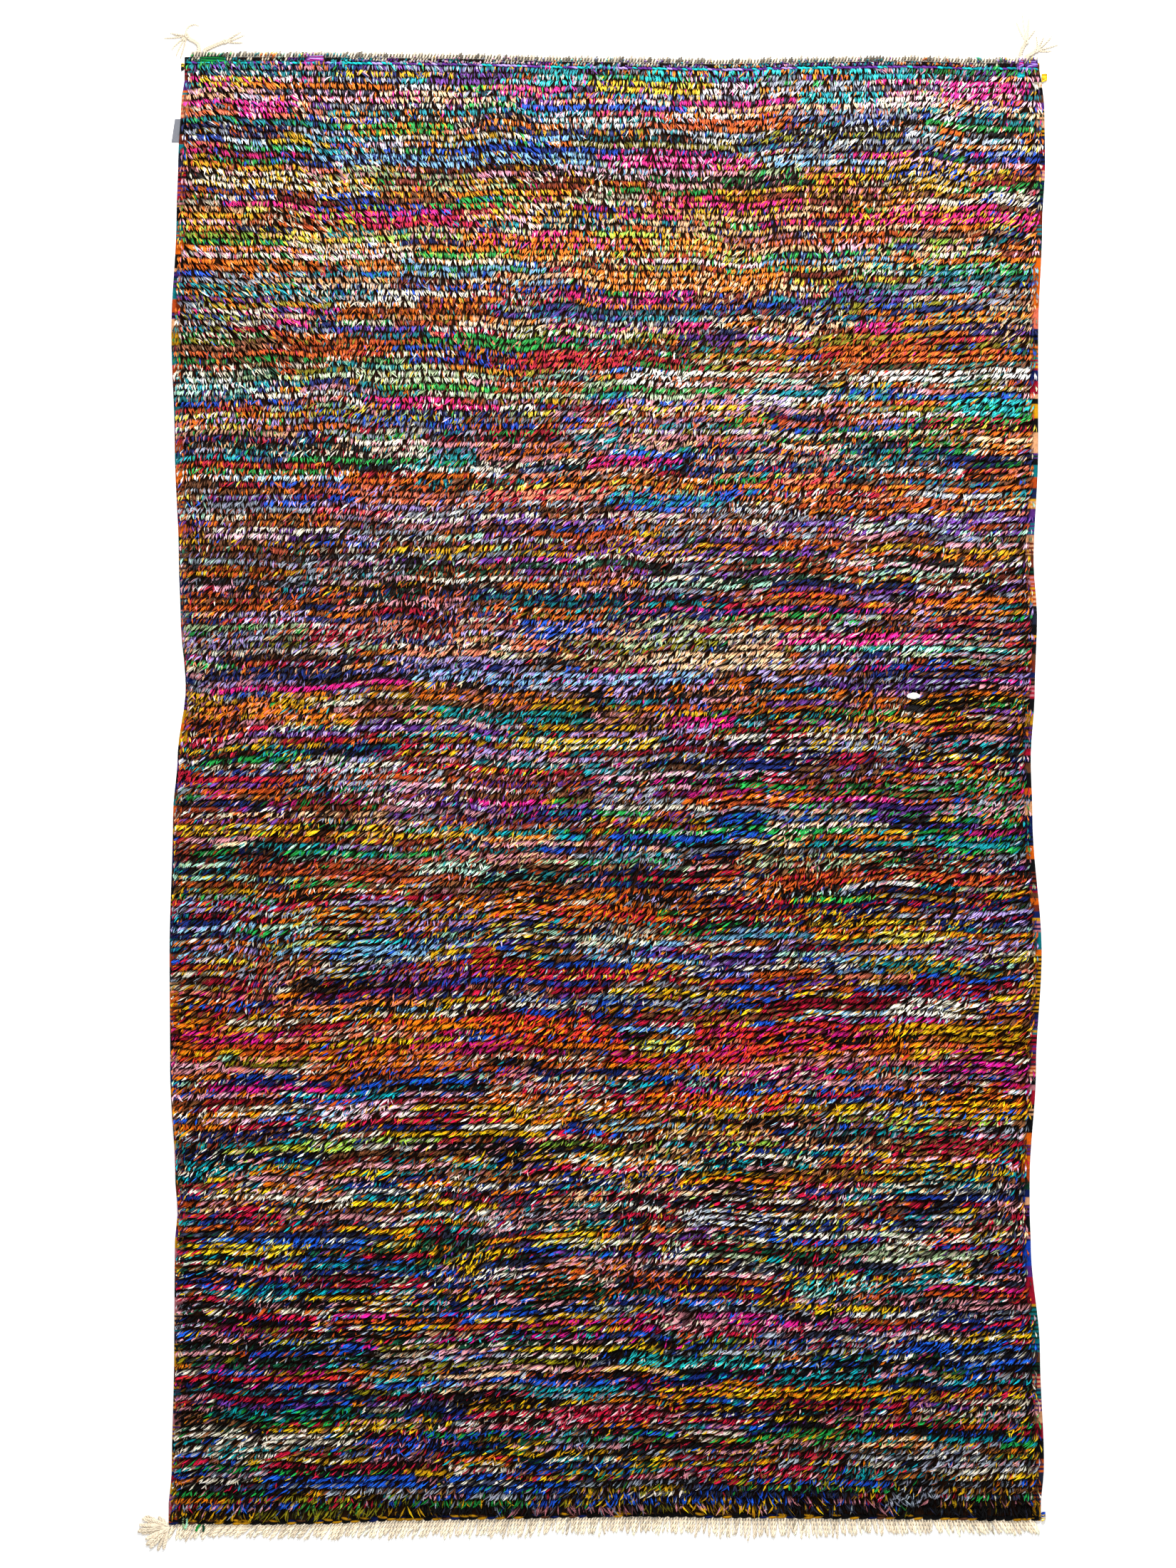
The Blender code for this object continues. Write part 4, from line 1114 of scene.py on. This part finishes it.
# The blocks that stand out on the sides: side, from and to along Y in metres, and the one or two wools
Block = namedtuple("Block", "side low high yarn other")
BLOCKS = (
    Block(-1, 1.214, 1.231, "purple", "purple"),
    Block(-1, 1.203, 1.214, "teal", "orange"),
    Block(-1, 1.166, 1.203, "peach", "salmon"),
    Block(1, 1.228, 1.242, "black", "black"),
    Block(1, 1.220, 1.228, "peach", "cream"),
    Block(1, 1.206, 1.220, "black", "black"),
    Block(1, 0.837, 0.899, "orange", "orange"),
    Block(1, 0.800, 0.837, "salmon", "salmon"),
    Block(1, -0.387, -0.288, "mustard", "black"),
    Block(1, -0.830, -0.785, "royal", "royal"),
    Block(1, -0.960, -0.900, "teal", "bottle_green"),
)
# Across a selvedge from its inner edge: share of the width and height, round the outer edge to the underside
SELVEDGE_PROFILE = (
    (0.00, 0.0040),
    (0.12, 0.0056),
    (0.30, 0.0044),
    (0.46, 0.0060),
    (0.62, 0.0045),
    (0.80, 0.0056),
    (0.96, 0.0036),
    (1.00, 0.0014),
    (0.94, 0.0000),
    (0.00, 0.0000),
    (0.00, 0.0040),
)


def weave_selvedge(name, rng, side):
    """One flat-woven side: ribs of weft over three warps, in blocks of solid colour."""
    across, heights = np.array(SELVEDGE_PROFILE).T
    rows = round(LENGTH / RIB_PITCH) * 2
    columns = len(across) - 1
    width = sizes().selvedge + 0.001

    def shape(column, row):
        column, row = column.astype(int), row.astype(int)
        x, y = place(0.0 if side < 0 else 1.0, row / rows)
        bundle = (column >= 1) & (column <= 6)
        beat = np.where((row + column // 2) % 2 == 0, 0.0005, -0.0004)
        z = heights[column] + np.where(bundle, beat, 0.0)
        return np.stack([x - side * width * (1 - across[column]), y, z], axis=1)

    mesh = grid_mesh(name, columns, rows, shape, dyed_wool("selvedge_wool", FINE_GRAIN, 0.35), closed=True)
    co = np.empty(len(mesh.vertices) * 3)
    mesh.vertices.foreach_get("co", co)
    y = co.reshape(-1, 3)[:, 1]
    breaks = np.cumsum(rng.uniform(0.005, 0.026, 200)) - LENGTH / 2 - 0.02
    block = np.searchsorted(breaks, y)
    tints = np.array([colour(name_of) for name_of in rng.choice(SELVEDGE_WOOLS, 2 * len(breaks) + 2)])
    striped = rng.random(len(breaks) + 1) < 0.5
    odd = np.rint(y / RIB_PITCH).astype(int) % 2
    dyes = tints[2 * block + odd * striped[block]]
    for known in BLOCKS:
        if known.side == side:
            pair = np.array([colour(known.yarn), colour(known.other)])
            dyes = np.where(((y > known.low) & (y < known.high))[:, None], pair[odd], dyes)
    # The selvedges are painted about half as bright, as the shade of the pile beside them
    set_dyes(mesh, dyes * 0.52 * rng.normal(1.0, 0.12, len(y))[:, None])
    return add_piece(name, mesh, "pile")


def stitch_row(name, count, along, inset, reach, radius, slant, height, tints, rng, node=()):
    """A row of short slanting stitches over an end of the cloth."""
    share = np.linspace(0.006, 0.994, count)
    x, y = place(share, np.full(count, along))
    away = 1.0 if along < 0.5 else -1.0
    y = y + away * inset
    t = np.linspace(-0.5, 0.5, 5)
    spines = np.zeros((count, 5, 3))
    swing = slant * (1 + rng.normal(0.0, 0.12, count))
    spines[:, :, 0] = x[:, None] + np.cos(swing)[:, None] * reach * t
    spines[:, :, 1] = y[:, None] + np.sin(swing)[:, None] * reach * t + rng.normal(0, 0.0003, count)[:, None]
    spines[:, :, 2] = height + 0.0022 * (1 - (2 * t) ** 2)
    radii = radius * np.array((0.55, 0.9, 1.0, 0.9, 0.55)) * rng.normal(1.0, 0.08, count)[:, None]
    mesh = strands_mesh(
        name, strand_pattern(5, 5), spines, radii, tints, dyed_wool("plied_wool", FINE_GRAIN, 0.4)
    )
    return add_piece(name, mesh, "natural_yarn" if node else "pile", *node)


def runs_of(rng, count, names, shortest, longest):
    """A colour for each stitch, in runs of one wool."""
    picked = []
    while len(picked) < count:
        picked += [str(rng.choice(names))] * int(rng.integers(shortest, longest + 1))
    tints = np.array([colour(name) for name in picked[:count]])
    return tints * rng.normal(1.0, 0.12, count)[:, None]


def bind_hems():
    """The twined line of purple and teal under the cord, and the ochre, blue and brown dashes over the fringe."""
    rng = np.random.default_rng(sizes().seed + 1)
    tints = runs_of(rng, 290, ("natural", "black", "teal", "black", "natural", "purple"), 1, 2) * 0.5
    top = stitch_row("twined_line_top", 290, 1.0, 0.0040, 0.0075, 0.0016, 1.15, 0.0045, tints, rng)
    tints = runs_of(rng, 170, ("turquoise", "purple", "teal", "purple", "turquoise", "lavender"), 1, 2) * 0.95
    second = stitch_row("twined_line_under", 170, 1.0, 0.0110, 0.0115, 0.0020, -0.22, 0.0085, tints, rng)
    pieces = [top, second]
    for i, inset in enumerate((0.0025, 0.0070)):
        tints = runs_of(rng, 96, ("mustard", "black", "black", "navy", "black", "mustard", "black", "brown"), 1, 1) * 0.50
        name = f"twined_line_bottom_{i + 1}"
        pieces.append(stitch_row(name, 96, 0.0, inset, 0.0165, 0.0024, 0.12 * (1 - 2 * i), 0.0038, tints, rng))
    return pieces


def bind_cord():
    """The top cord: warp loops laid close together over a core that is painted dark as the shade in the gaps between
    them.
    """
    size = sizes()
    rng = np.random.default_rng(size.seed + 2)
    count = size.cord_loops
    share = np.linspace(0.008, 0.995, count)
    x, y = place(share, np.ones(count))
    t = np.linspace(0.0, 1.0, 7)
    spines = np.zeros((count, 7, 3))
    slant = rng.normal(0.0052, 0.0016, count)
    spines[:, :, 0] = x[:, None] + slant[:, None] * (t - 0.3)
    reach = rng.normal(0.0100, 0.0007, count)
    spines[:, :, 1] = y[:, None] - 0.0005 + reach[:, None] * np.sin(t * math.pi * 0.62) / math.sin(math.pi * 0.62) * t ** 0.4
    spines[:, :, 2] = 0.0030 + 0.0030 * np.sin(t * math.pi) + 0.0006 * rng.normal(0, 1, count)[:, None]
    spines[:, :, 2] -= 0.0012 * t[None, :]
    radii = 0.00165 * np.array((0.8, 1.0, 1.0, 1.0, 1.0, 0.9, 0.6)) * rng.normal(1.0, 0.14, count)[:, None]
    tints = colour("natural") * np.clip(rng.normal(0.54, 0.26, count), 0.10, 1.0)[:, None]
    finish = dyed_wool("warp_yarn", WARP_GRAIN, 0.6, 0.05)
    loops = strands_mesh("cord_loops", strand_pattern(7, 6), spines, radii, tints, finish)
    pieces = [add_piece("cord_loops", loops, "natural_yarn", "top_cord")]
    # The core is painted dark, as the shade in the gaps between the loops
    rings = 400
    share = np.linspace(0.008, 0.995, rings)
    x, y = place(share, np.ones(rings))
    spine = np.stack([x, y + 0.0048, np.full(rings, 0.0027)], axis=1)[None]
    core = strands_mesh(
        "cord_core",
        strand_pattern(rings, 8),
        spine,
        np.full((1, rings), 0.0025),
        colour("natural")[None] * 0.10,
        finish,
    )
    pieces.append(add_piece("cord_core", core, "natural_yarn"))
    return pieces


def cut_fringe():
    """The cut warp ends: two-ply strands side by side along the bottom end."""
    size = sizes()
    rng = np.random.default_rng(size.seed + 3)
    count = size.fringe_strands
    rings = 9
    share = np.linspace(0.006, 0.990, count)
    x, y = place(share, np.zeros(count))
    slant = np.radians(table_at(FRINGE_ROWS, "slant", share) + rng.normal(0.0, 3.5, count))
    reach = table_at(FRINGE_ROWS, "length", share) * rng.normal(1.09, 0.12, count)
    bend = np.radians(rng.normal(0.0, 11.0, count))
    t = np.linspace(0.0, 1.0, rings)
    spines = np.zeros((count, rings, 3))
    angle = slant[:, None] + bend[:, None] * (t - 0.3)
    step = reach[:, None] / (rings - 1)
    spines[:, :, 0] = x[:, None] + np.cumsum(np.sin(angle) * step, axis=1) - np.sin(angle[:, :1]) * step
    spines[:, :, 1] = y[:, None] + 0.0015 - np.cumsum(np.cos(angle) * step, axis=1) + np.cos(angle[:, :1]) * step
    layer = rng.uniform(0.0, 0.0016, count)[:, None]
    spines[:, :, 2] = 0.0023 + layer + 0.0012 * np.exp(-t * 6)[None]
    plies = two_ply(spines, 0.0160, 0.00140)
    radii = size.ply_radius * np.interp(t, (0, 0.75, 1.0), (1.0, 0.95, 0.55))
    radii = np.tile(radii, (2 * count, 1)) * np.tile(rng.normal(1.0, 0.08, count), 2)[:, None]
    tints = colour("natural") * np.clip(rng.normal(0.96, 0.18, 2 * count), 0.4, 1.2)[:, None]
    finish = dyed_wool("warp_yarn", WARP_GRAIN, 0.6, 0.05)
    # Painted shade at the roots, where the strands crowd, and a little painted light at the tips
    painted_shading = np.interp(t, (0, 0.25, 1.0), (0.62, 0.98, 1.1))
    mesh = strands_mesh("fringe_strands", strand_pattern(rings, 4), plies, radii, tints, finish, painted_shading)
    return [add_piece("fringe_strands", mesh, "natural_yarn", "warp_fringe")]


def along_path(points, count):
    """Points at even steps along a path that is smoothed through the given points."""
    path = [Vector((*point, 0.0)) for point in points]
    dense = []
    for i in range(len(path) - 1):
        before, start, end = path[max(i - 1, 0)], path[i], path[i + 1]
        after = path[min(i + 2, len(path) - 1)]
        for k in range(12):
            t = k / 12
            dense.append(
                0.5
                * (
                    2 * start
                    + (end - before) * t
                    + (2 * before - 5 * start + 4 * end - after) * t * t
                    + (3 * start - before - 3 * end + after) * t**3
                )
            )
    dense.append(path[-1])
    dense = np.array(dense)
    run = np.concatenate([[0.0], np.cumsum(np.linalg.norm(np.diff(dense, axis=0), axis=1))])
    even = np.linspace(0.0, run[-1], count)
    return np.stack([np.interp(even, run, dense[:, k]) for k in range(3)], axis=1)


def curling(start, angle, length, curl, rings, height):
    """A loose yarn's middle from its start, turning by curl degrees as it goes, lying on the floor."""
    angles = math.radians(angle) + math.radians(curl) * np.linspace(0.0, 1.0, rings)
    step = length / (rings - 1)
    x = start[0] + np.concatenate([[0.0], np.cumsum(np.cos(angles[:-1]) * step)])
    y = start[1] + np.concatenate([[0.0], np.cumsum(np.sin(angles[:-1]) * step)])
    return np.stack([x, y, np.full(rings, height)], axis=1)


YARN_RINGS = 16
PLAIT_RINGS = 36


def plait_tassels():
    """The four corner tassels: a three-strand plait, a knot, and loose two-ply yarns."""
    rng = np.random.default_rng(sizes().seed + 4)
    finish = dyed_wool("warp_yarn", WARP_GRAIN, 0.6, 0.05)
    pieces = []
    for tassel in TASSELS:
        x, y = place(tassel.share, 1.0)
        root = np.array((float(x), float(y) + 0.0085))
        path = along_path([root + np.array(point) for point in tassel.plait], PLAIT_RINGS)
        ahead = unit(np.gradient(path, axis=0))
        side = np.cross(UP, ahead)
        run = np.linspace(0.0, 1.0, PLAIT_RINGS)
        turns = 2 * math.pi * 0.42 * (len(tassel.plait) - 1) * 2
        strands, radii = [], []
        for k in range(3):
            phase = run * turns + 2 * math.pi * k / 3
            strand = path + side * (0.0021 * np.sin(phase))[:, None]
            strand[:, 2] = 0.0030 + 0.0011 * np.sin(2 * phase)
            strands.append(strand)
            radii.append(np.full(PLAIT_RINGS, 0.0019))
        knot = path[-1]
        for k, (tilt, radius) in enumerate(((0.5, 0.0030), (-0.6, 0.0032), (0.1, 0.0024))):
            turn = np.linspace(0.0, 2.1 * math.pi, PLAIT_RINGS)
            ring = np.stack(
                [
                    knot[0] + radius * np.cos(turn + k),
                    knot[1] + radius * np.sin(turn + k),
                    0.0030 + 0.0008 * k + tilt * 0.0022 * np.sin(turn),
                ],
                axis=1,
            )
            strands.append(ring)
            radii.append(np.full(PLAIT_RINGS, 0.0018))
        tied = strands_mesh(
            tassel.node + "_plait",
            strand_pattern(PLAIT_RINGS, 6),
            np.array(strands),
            np.array(radii),
            colour("natural") * rng.normal(0.55, 0.06, len(strands))[:, None],
            finish,
        )
        pieces.append(add_piece(tassel.node + "_plait", tied, "natural_yarn", tassel.node))
        loose = np.array(
            [
                curling(knot, yarn.angle, yarn.length + 0.003, yarn.curl, YARN_RINGS, 0.0021 + 0.0005 * (i % 3))
                for i, yarn in enumerate(tassel.yarns)
            ]
        )
        plies = two_ply(loose, 0.0085, 0.00115)
        taper = np.interp(np.linspace(0, 1, YARN_RINGS), (0, 0.7, 1), (1.0, 0.85, 0.45))
        mesh = strands_mesh(
            tassel.node + "_yarns",
            strand_pattern(YARN_RINGS, 5),
            plies,
            np.tile(taper * 0.00125, (len(plies), 1)),
            colour("natural") * rng.normal(0.66, 0.06, len(plies))[:, None],
            finish,
        )
        pieces.append(add_piece(tassel.node + "_yarns", mesh, "natural_yarn"))
    return pieces


def loop_corner():
    """The looped warp yarns at the bottom left corner."""
    rng = np.random.default_rng(sizes().seed + 5)
    x, y = place(0.001, 0.0)
    root = np.array((float(x), float(y) - 0.0045))
    rings = 22
    t = np.linspace(0.0, 1.0, rings)
    spines = []
    for i, loop in enumerate(CORNER_LOOPS):
        angle = math.radians(loop.angle)
        ahead = np.array((math.cos(angle), math.sin(angle)))
        side = np.array((-ahead[1], ahead[0]))
        out = loop.length * np.sin(t * math.pi * 0.92) ** 0.8
        wide = loop.opening * (t - 0.5) * np.sin(t * math.pi)
        bow = 0.006 * np.sin(t * math.pi) * math.sin(i * 1.3)
        flat = root + ahead * out[:, None] + side * (wide + bow)[:, None]
        spines.append(np.column_stack([flat, 0.0024 + 0.0011 * (i % 3) + np.zeros(rings)]))
    plies = two_ply(np.array(spines), 0.0100, 0.0013)
    mesh = strands_mesh(
        "corner_loops",
        strand_pattern(rings, 5),
        plies,
        np.full((len(plies), rings), 0.0014),
        colour("natural") * rng.normal(0.82, 0.10, len(plies))[:, None],
        dyed_wool("warp_yarn", WARP_GRAIN, 0.6, 0.05),
    )
    return [add_piece("corner_loops", mesh, "natural_yarn", "tassel_bottom_left")]


def wind_corner_knots():
    """The small lumps of yarn that finish three corners of the selvedges."""
    rng = np.random.default_rng(sizes().seed + 6)
    rings = 40
    turn = np.linspace(0.0, 3.0 * 2 * math.pi, rings)
    pieces = []
    for knot in CORNER_KNOTS:
        x, y = place(knot.across, knot.along)
        depth, length, height = knot.size
        centre = np.array((float(x) + knot.out * depth * 0.55, float(y), height * 0.55))
        strands, tints = [], []
        for k in range(2 * len(knot.yarns)):
            lean = rng.uniform(-0.5, 0.5)
            shift = (k / (2 * len(knot.yarns) - 1) - 0.5) * length * 0.55
            ring = np.stack(
                [
                    centre[0] + depth * 0.42 * np.cos(turn + k),
                    centre[1] + shift + length * 0.16 * np.sin(turn * 0.5 + lean) + 0.001 * np.cos(turn),
                    centre[2] + height * 0.30 * np.sin(turn + k),
                ],
                axis=1,
            )
            strands.append(ring)
            tints.append(colour(knot.yarns[k % len(knot.yarns)]))
        mesh = strands_mesh(
            knot.node + "_yarn",
            strand_pattern(rings, 5),
            np.array(strands),
            np.full((len(strands), rings), 0.0011),
            np.array(tints),
            dyed_wool("plied_wool", FINE_GRAIN, 0.4),
        )
        if knot.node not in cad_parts:
            pieces.append(add_piece(knot.node, mesh, "pile"))
            continue
        slot = "dark_yarn" if knot.yarns[0] == "black" else "yellow_yarn"
        pieces.append(add_piece(knot.node + "_yarn", mesh, slot, knot.node))
    return pieces


def snip_loose_ends():
    """Two short ends of green yarn over the fringe, and the tuft of white wool caught in the pile."""
    greens = np.array(
        [
            curling((-0.7345, -1.2665), 250, 0.022, 60, 12, 0.0062),
            curling((-0.7300, -1.2660), 285, 0.020, -50, 12, 0.0066),
            curling((-0.7060, -1.2785), 215, 0.014, 50, 12, 0.0064),
            curling((-0.7020, -1.2790), 300, 0.012, -60, 12, 0.0060),
        ]
    )
    plies = two_ply(greens, 0.008, 0.0011)
    tints = np.tile(np.array([colour(name) for name in ("sage", "mint", "green", "bottle_green")]), (2, 1))
    mesh = strands_mesh(
        "green_yarn_ends",
        strand_pattern(12, 5),
        plies,
        np.full((len(plies), 12), 0.0013),
        tints,
        dyed_wool("plied_wool", FINE_GRAIN, 0.4),
    )
    pieces = [add_piece("green_yarn_ends", mesh, "pile")]
    rng = np.random.default_rng(sizes().seed + 7)
    bm = bmesh.new()
    bmesh.ops.create_icosphere(bm, subdivisions=4, radius=1.0)
    lump = Ripple(rng, 2.4)
    for vert in bm.verts:
        swell = 1 + 0.06 * float(lump.at(vert.co.x * 2 + vert.co.z, vert.co.y * 2))
        vert.co = Vector((0.5325 + vert.co.x * 0.0115 * swell, 0.1614 + vert.co.y * 0.0054 * swell,
                          0.0180 + vert.co.z * 0.0040 * swell))
    for face in bm.faces:
        face.smooth = True
    mesh = bpy.data.meshes.new("white_tuft")
    bm.to_mesh(mesh)
    bm.free()
    mesh.materials.append(dyed_wool("tuft_wool", FINE_GRAIN, 0.15))
    set_dyes(mesh, np.tile(colour("white"), (len(mesh.vertices), 1)))
    pieces.append(add_piece("white_tuft", mesh, "natural_yarn"))
    return pieces


LABEL_START, LABEL_END = 0.942, 0.958
LABEL_LOW, LABEL_HIGH = 0.0118, 0.0085
LABEL_CLOTH = 0.0005


def fold_label():
    """The grey ribbon label, folded in two and sewn under the left selvedge."""
    radius = 0.00045
    profile = [(share, LABEL_CLOTH / 2, 0.0) for share in np.linspace(-0.3, 1.0, 9)]
    for step in range(1, 6):
        angle = math.pi * step / 6
        profile.append((1.0, LABEL_CLOTH / 2 + radius * (1 - math.cos(angle)), radius * math.sin(angle)))
    profile += [(share, LABEL_CLOTH / 2 + 2 * radius, 0.0) for share in np.linspace(1.0, -0.3, 9)]
    profile = np.array(profile)
    cells = 26

    def shape(column, row):
        reach, height, fold = profile[column.astype(int)].T
        t = row / cells
        x, y = place(0.0, LABEL_START + (LABEL_END - LABEL_START) * t)
        out = 0.0006 + (LABEL_LOW + (LABEL_HIGH - LABEL_LOW) * t) * reach + fold
        wave = 0.0003 * (1 + np.sin(t * 7 + reach * 3)) * np.clip(reach, 0, 1)
        return np.stack([x - out, y, height + wave], axis=1)

    finish = woven_wool("label_ribbon", linear("84868E"), 0.0009, 0.0005, 0.35)
    finish.node_tree.nodes["Principled BSDF"].inputs["Roughness"].default_value = 0.55
    mesh = grid_mesh("label_ribbon", len(profile) - 1, cells, shape, finish)
    piece = add_piece("label_ribbon", mesh, "ribbon", "label")
    solid = piece.modifiers.new("cloth", "SOLIDIFY")
    solid.thickness = LABEL_CLOTH
    solid.offset = 0.0
    return [piece]


CAMERA_X, CAMERA_Y, CAMERA_HEIGHT = -0.0322, 0.0087, 6.0
FRAME_HEIGHT = 2.7205


def set_stage():
    """The pale floor, the soft lights and the camera straight above."""
    scene = bpy.context.scene
    bm = bmesh.new()
    bmesh.ops.create_grid(bm, x_segments=8, y_segments=8, size=6.0)
    mesh = bpy.data.meshes.new("floor")
    bm.to_mesh(mesh)
    bm.free()
    finish, tree, shader = new_material("pale_floor")
    grain = tree.nodes.new("ShaderNodeTexNoise")
    coords = tree.nodes.new("ShaderNodeTexCoord")
    grain.inputs["Scale"].default_value = 3.0
    tree.links.new(coords.outputs["Object"], grain.inputs["Vector"])
    ramp = tree.nodes.new("ShaderNodeValToRGB")
    ramp.color_ramp.elements[0].color = (0.93, 0.93, 0.93, 1.0)
    ramp.color_ramp.elements[1].color = (0.96, 0.96, 0.96, 1.0)
    tree.links.new(grain.outputs["Fac"], ramp.inputs["Fac"])
    tree.links.new(ramp.outputs["Color"], shader.inputs["Base Color"])
    mesh.materials.append(finish)
    floor = bpy.data.objects.new("floor", mesh)
    scene.collection.objects.link(floor)

    world = bpy.data.worlds.new("studio")
    world.use_nodes = True
    back = world.node_tree.nodes["Background"]
    back.inputs["Color"].default_value = (1.0, 1.0, 1.0, 1.0)
    back.inputs["Strength"].default_value = 0.52
    scene.world = world

    for name, spot, energy, size in (
        ("key", (0.3, 2.6, 3.0), 245.0, 1.4),
        ("fill", (-0.6, -0.6, 4.0), 70.0, 3.0),
    ):
        light = bpy.data.lights.new(name, "AREA")
        light.energy = energy
        light.size = size
        made = bpy.data.objects.new(name, light)
        made.location = spot
        made.rotation_euler = (Vector((0.0, 0.0, 0.0)) - Vector(spot)).to_track_quat("-Z", "Y").to_euler()
        scene.collection.objects.link(made)

    camera = bpy.data.cameras.new("camera")
    camera.lens = camera.sensor_width * (CAMERA_HEIGHT - sizes().pile_height) / FRAME_HEIGHT
    camera.clip_end = 50.0
    made = bpy.data.objects.new("camera", camera)
    made.location = (CAMERA_X, CAMERA_Y, CAMERA_HEIGHT)
    scene.collection.objects.link(made)
    scene.camera = made
    scene.view_settings.view_transform = "Standard"
    return [floor]


# Operators


class AZILAL_OT_pile(bpy.types.Operator):
    """Knot the shag and weave the ground under it"""

    bl_idname = "azilal.pile"
    bl_label = "Knot the pile"

    def execute(self, context):
        weave_foundation()
        knot_pile()
        return {"FINISHED"}


class AZILAL_OT_selvedges(bpy.types.Operator):
    """Weave the two flat sides"""

    bl_idname = "azilal.selvedges"
    bl_label = "Weave the selvedges"

    def execute(self, context):
        rng = np.random.default_rng(sizes().seed + 8)
        weave_selvedge("selvedge_left", rng, -1)
        weave_selvedge("selvedge_right", rng, 1)
        return {"FINISHED"}


class AZILAL_OT_hems(bpy.types.Operator):
    """Twine the coloured lines over both ends and bind the top cord"""

    bl_idname = "azilal.hems"
    bl_label = "Bind the ends"

    def execute(self, context):
        bind_hems()
        bind_cord()
        return {"FINISHED"}


class AZILAL_OT_fringe(bpy.types.Operator):
    """Cut the fringe and loop the corner yarns"""

    bl_idname = "azilal.fringe"
    bl_label = "Cut the fringe"

    def execute(self, context):
        cut_fringe()
        loop_corner()
        return {"FINISHED"}


class AZILAL_OT_tassels(bpy.types.Operator):
    """Plait the corner tassels and wind the corner knots"""

    bl_idname = "azilal.tassels"
    bl_label = "Plait the tassels"

    def execute(self, context):
        plait_tassels()
        wind_corner_knots()
        return {"FINISHED"}


class AZILAL_OT_trimmings(bpy.types.Operator):
    """Sew on the label and leave the loose ends"""

    bl_idname = "azilal.trimmings"
    bl_label = "Add the label and loose ends"

    def execute(self, context):
        fold_label()
        snip_loose_ends()
        return {"FINISHED"}


class AZILAL_OT_stage(bpy.types.Operator):
    """Set the floor, the lights and the camera"""

    bl_idname = "azilal.stage"
    bl_label = "Set the stage"

    def execute(self, context):
        set_stage()
        return {"FINISHED"}


OPERATORS = (
    AZILAL_OT_pile,
    AZILAL_OT_selvedges,
    AZILAL_OT_hems,
    AZILAL_OT_fringe,
    AZILAL_OT_tassels,
    AZILAL_OT_trimmings,
    AZILAL_OT_stage,
)


class AZILAL_PT_rug(bpy.types.Panel):
    """The rug's pieces, its sizes and its wools"""

    bl_label = "Azilal Rug"
    bl_idname = "AZILAL_PT_rug"
    bl_space_type = "VIEW_3D"
    bl_region_type = "UI"
    bl_category = "Azilal Rug"

    def draw(self, context):
        for operator in OPERATORS:
            self.layout.operator(operator.bl_idname)
        for group in (context.scene.rug_sizes, context.scene.dyed_wools):
            box = self.layout.box()
            for name in type(group).__annotations__:
                box.prop(group, name)


CLASSES = (DyedWools, RugSizes, *OPERATORS, AZILAL_PT_rug)


def register():
    for made in CLASSES:
        bpy.utils.register_class(made)
    bpy.types.Scene.dyed_wools = PointerProperty(type=DyedWools)
    bpy.types.Scene.rug_sizes = PointerProperty(type=RugSizes)


def unregister():
    del bpy.types.Scene.rug_sizes
    del bpy.types.Scene.dyed_wools
    for made in reversed(CLASSES):
        bpy.utils.unregister_class(made)


def main():
    register()
    bpy.ops.azilal.pile()
    bpy.ops.azilal.selvedges()
    bpy.ops.azilal.hems()
    bpy.ops.azilal.fringe()
    bpy.ops.azilal.tassels()
    bpy.ops.azilal.trimmings()
    bpy.ops.azilal.stage()


if __name__ == "__main__":
    main()
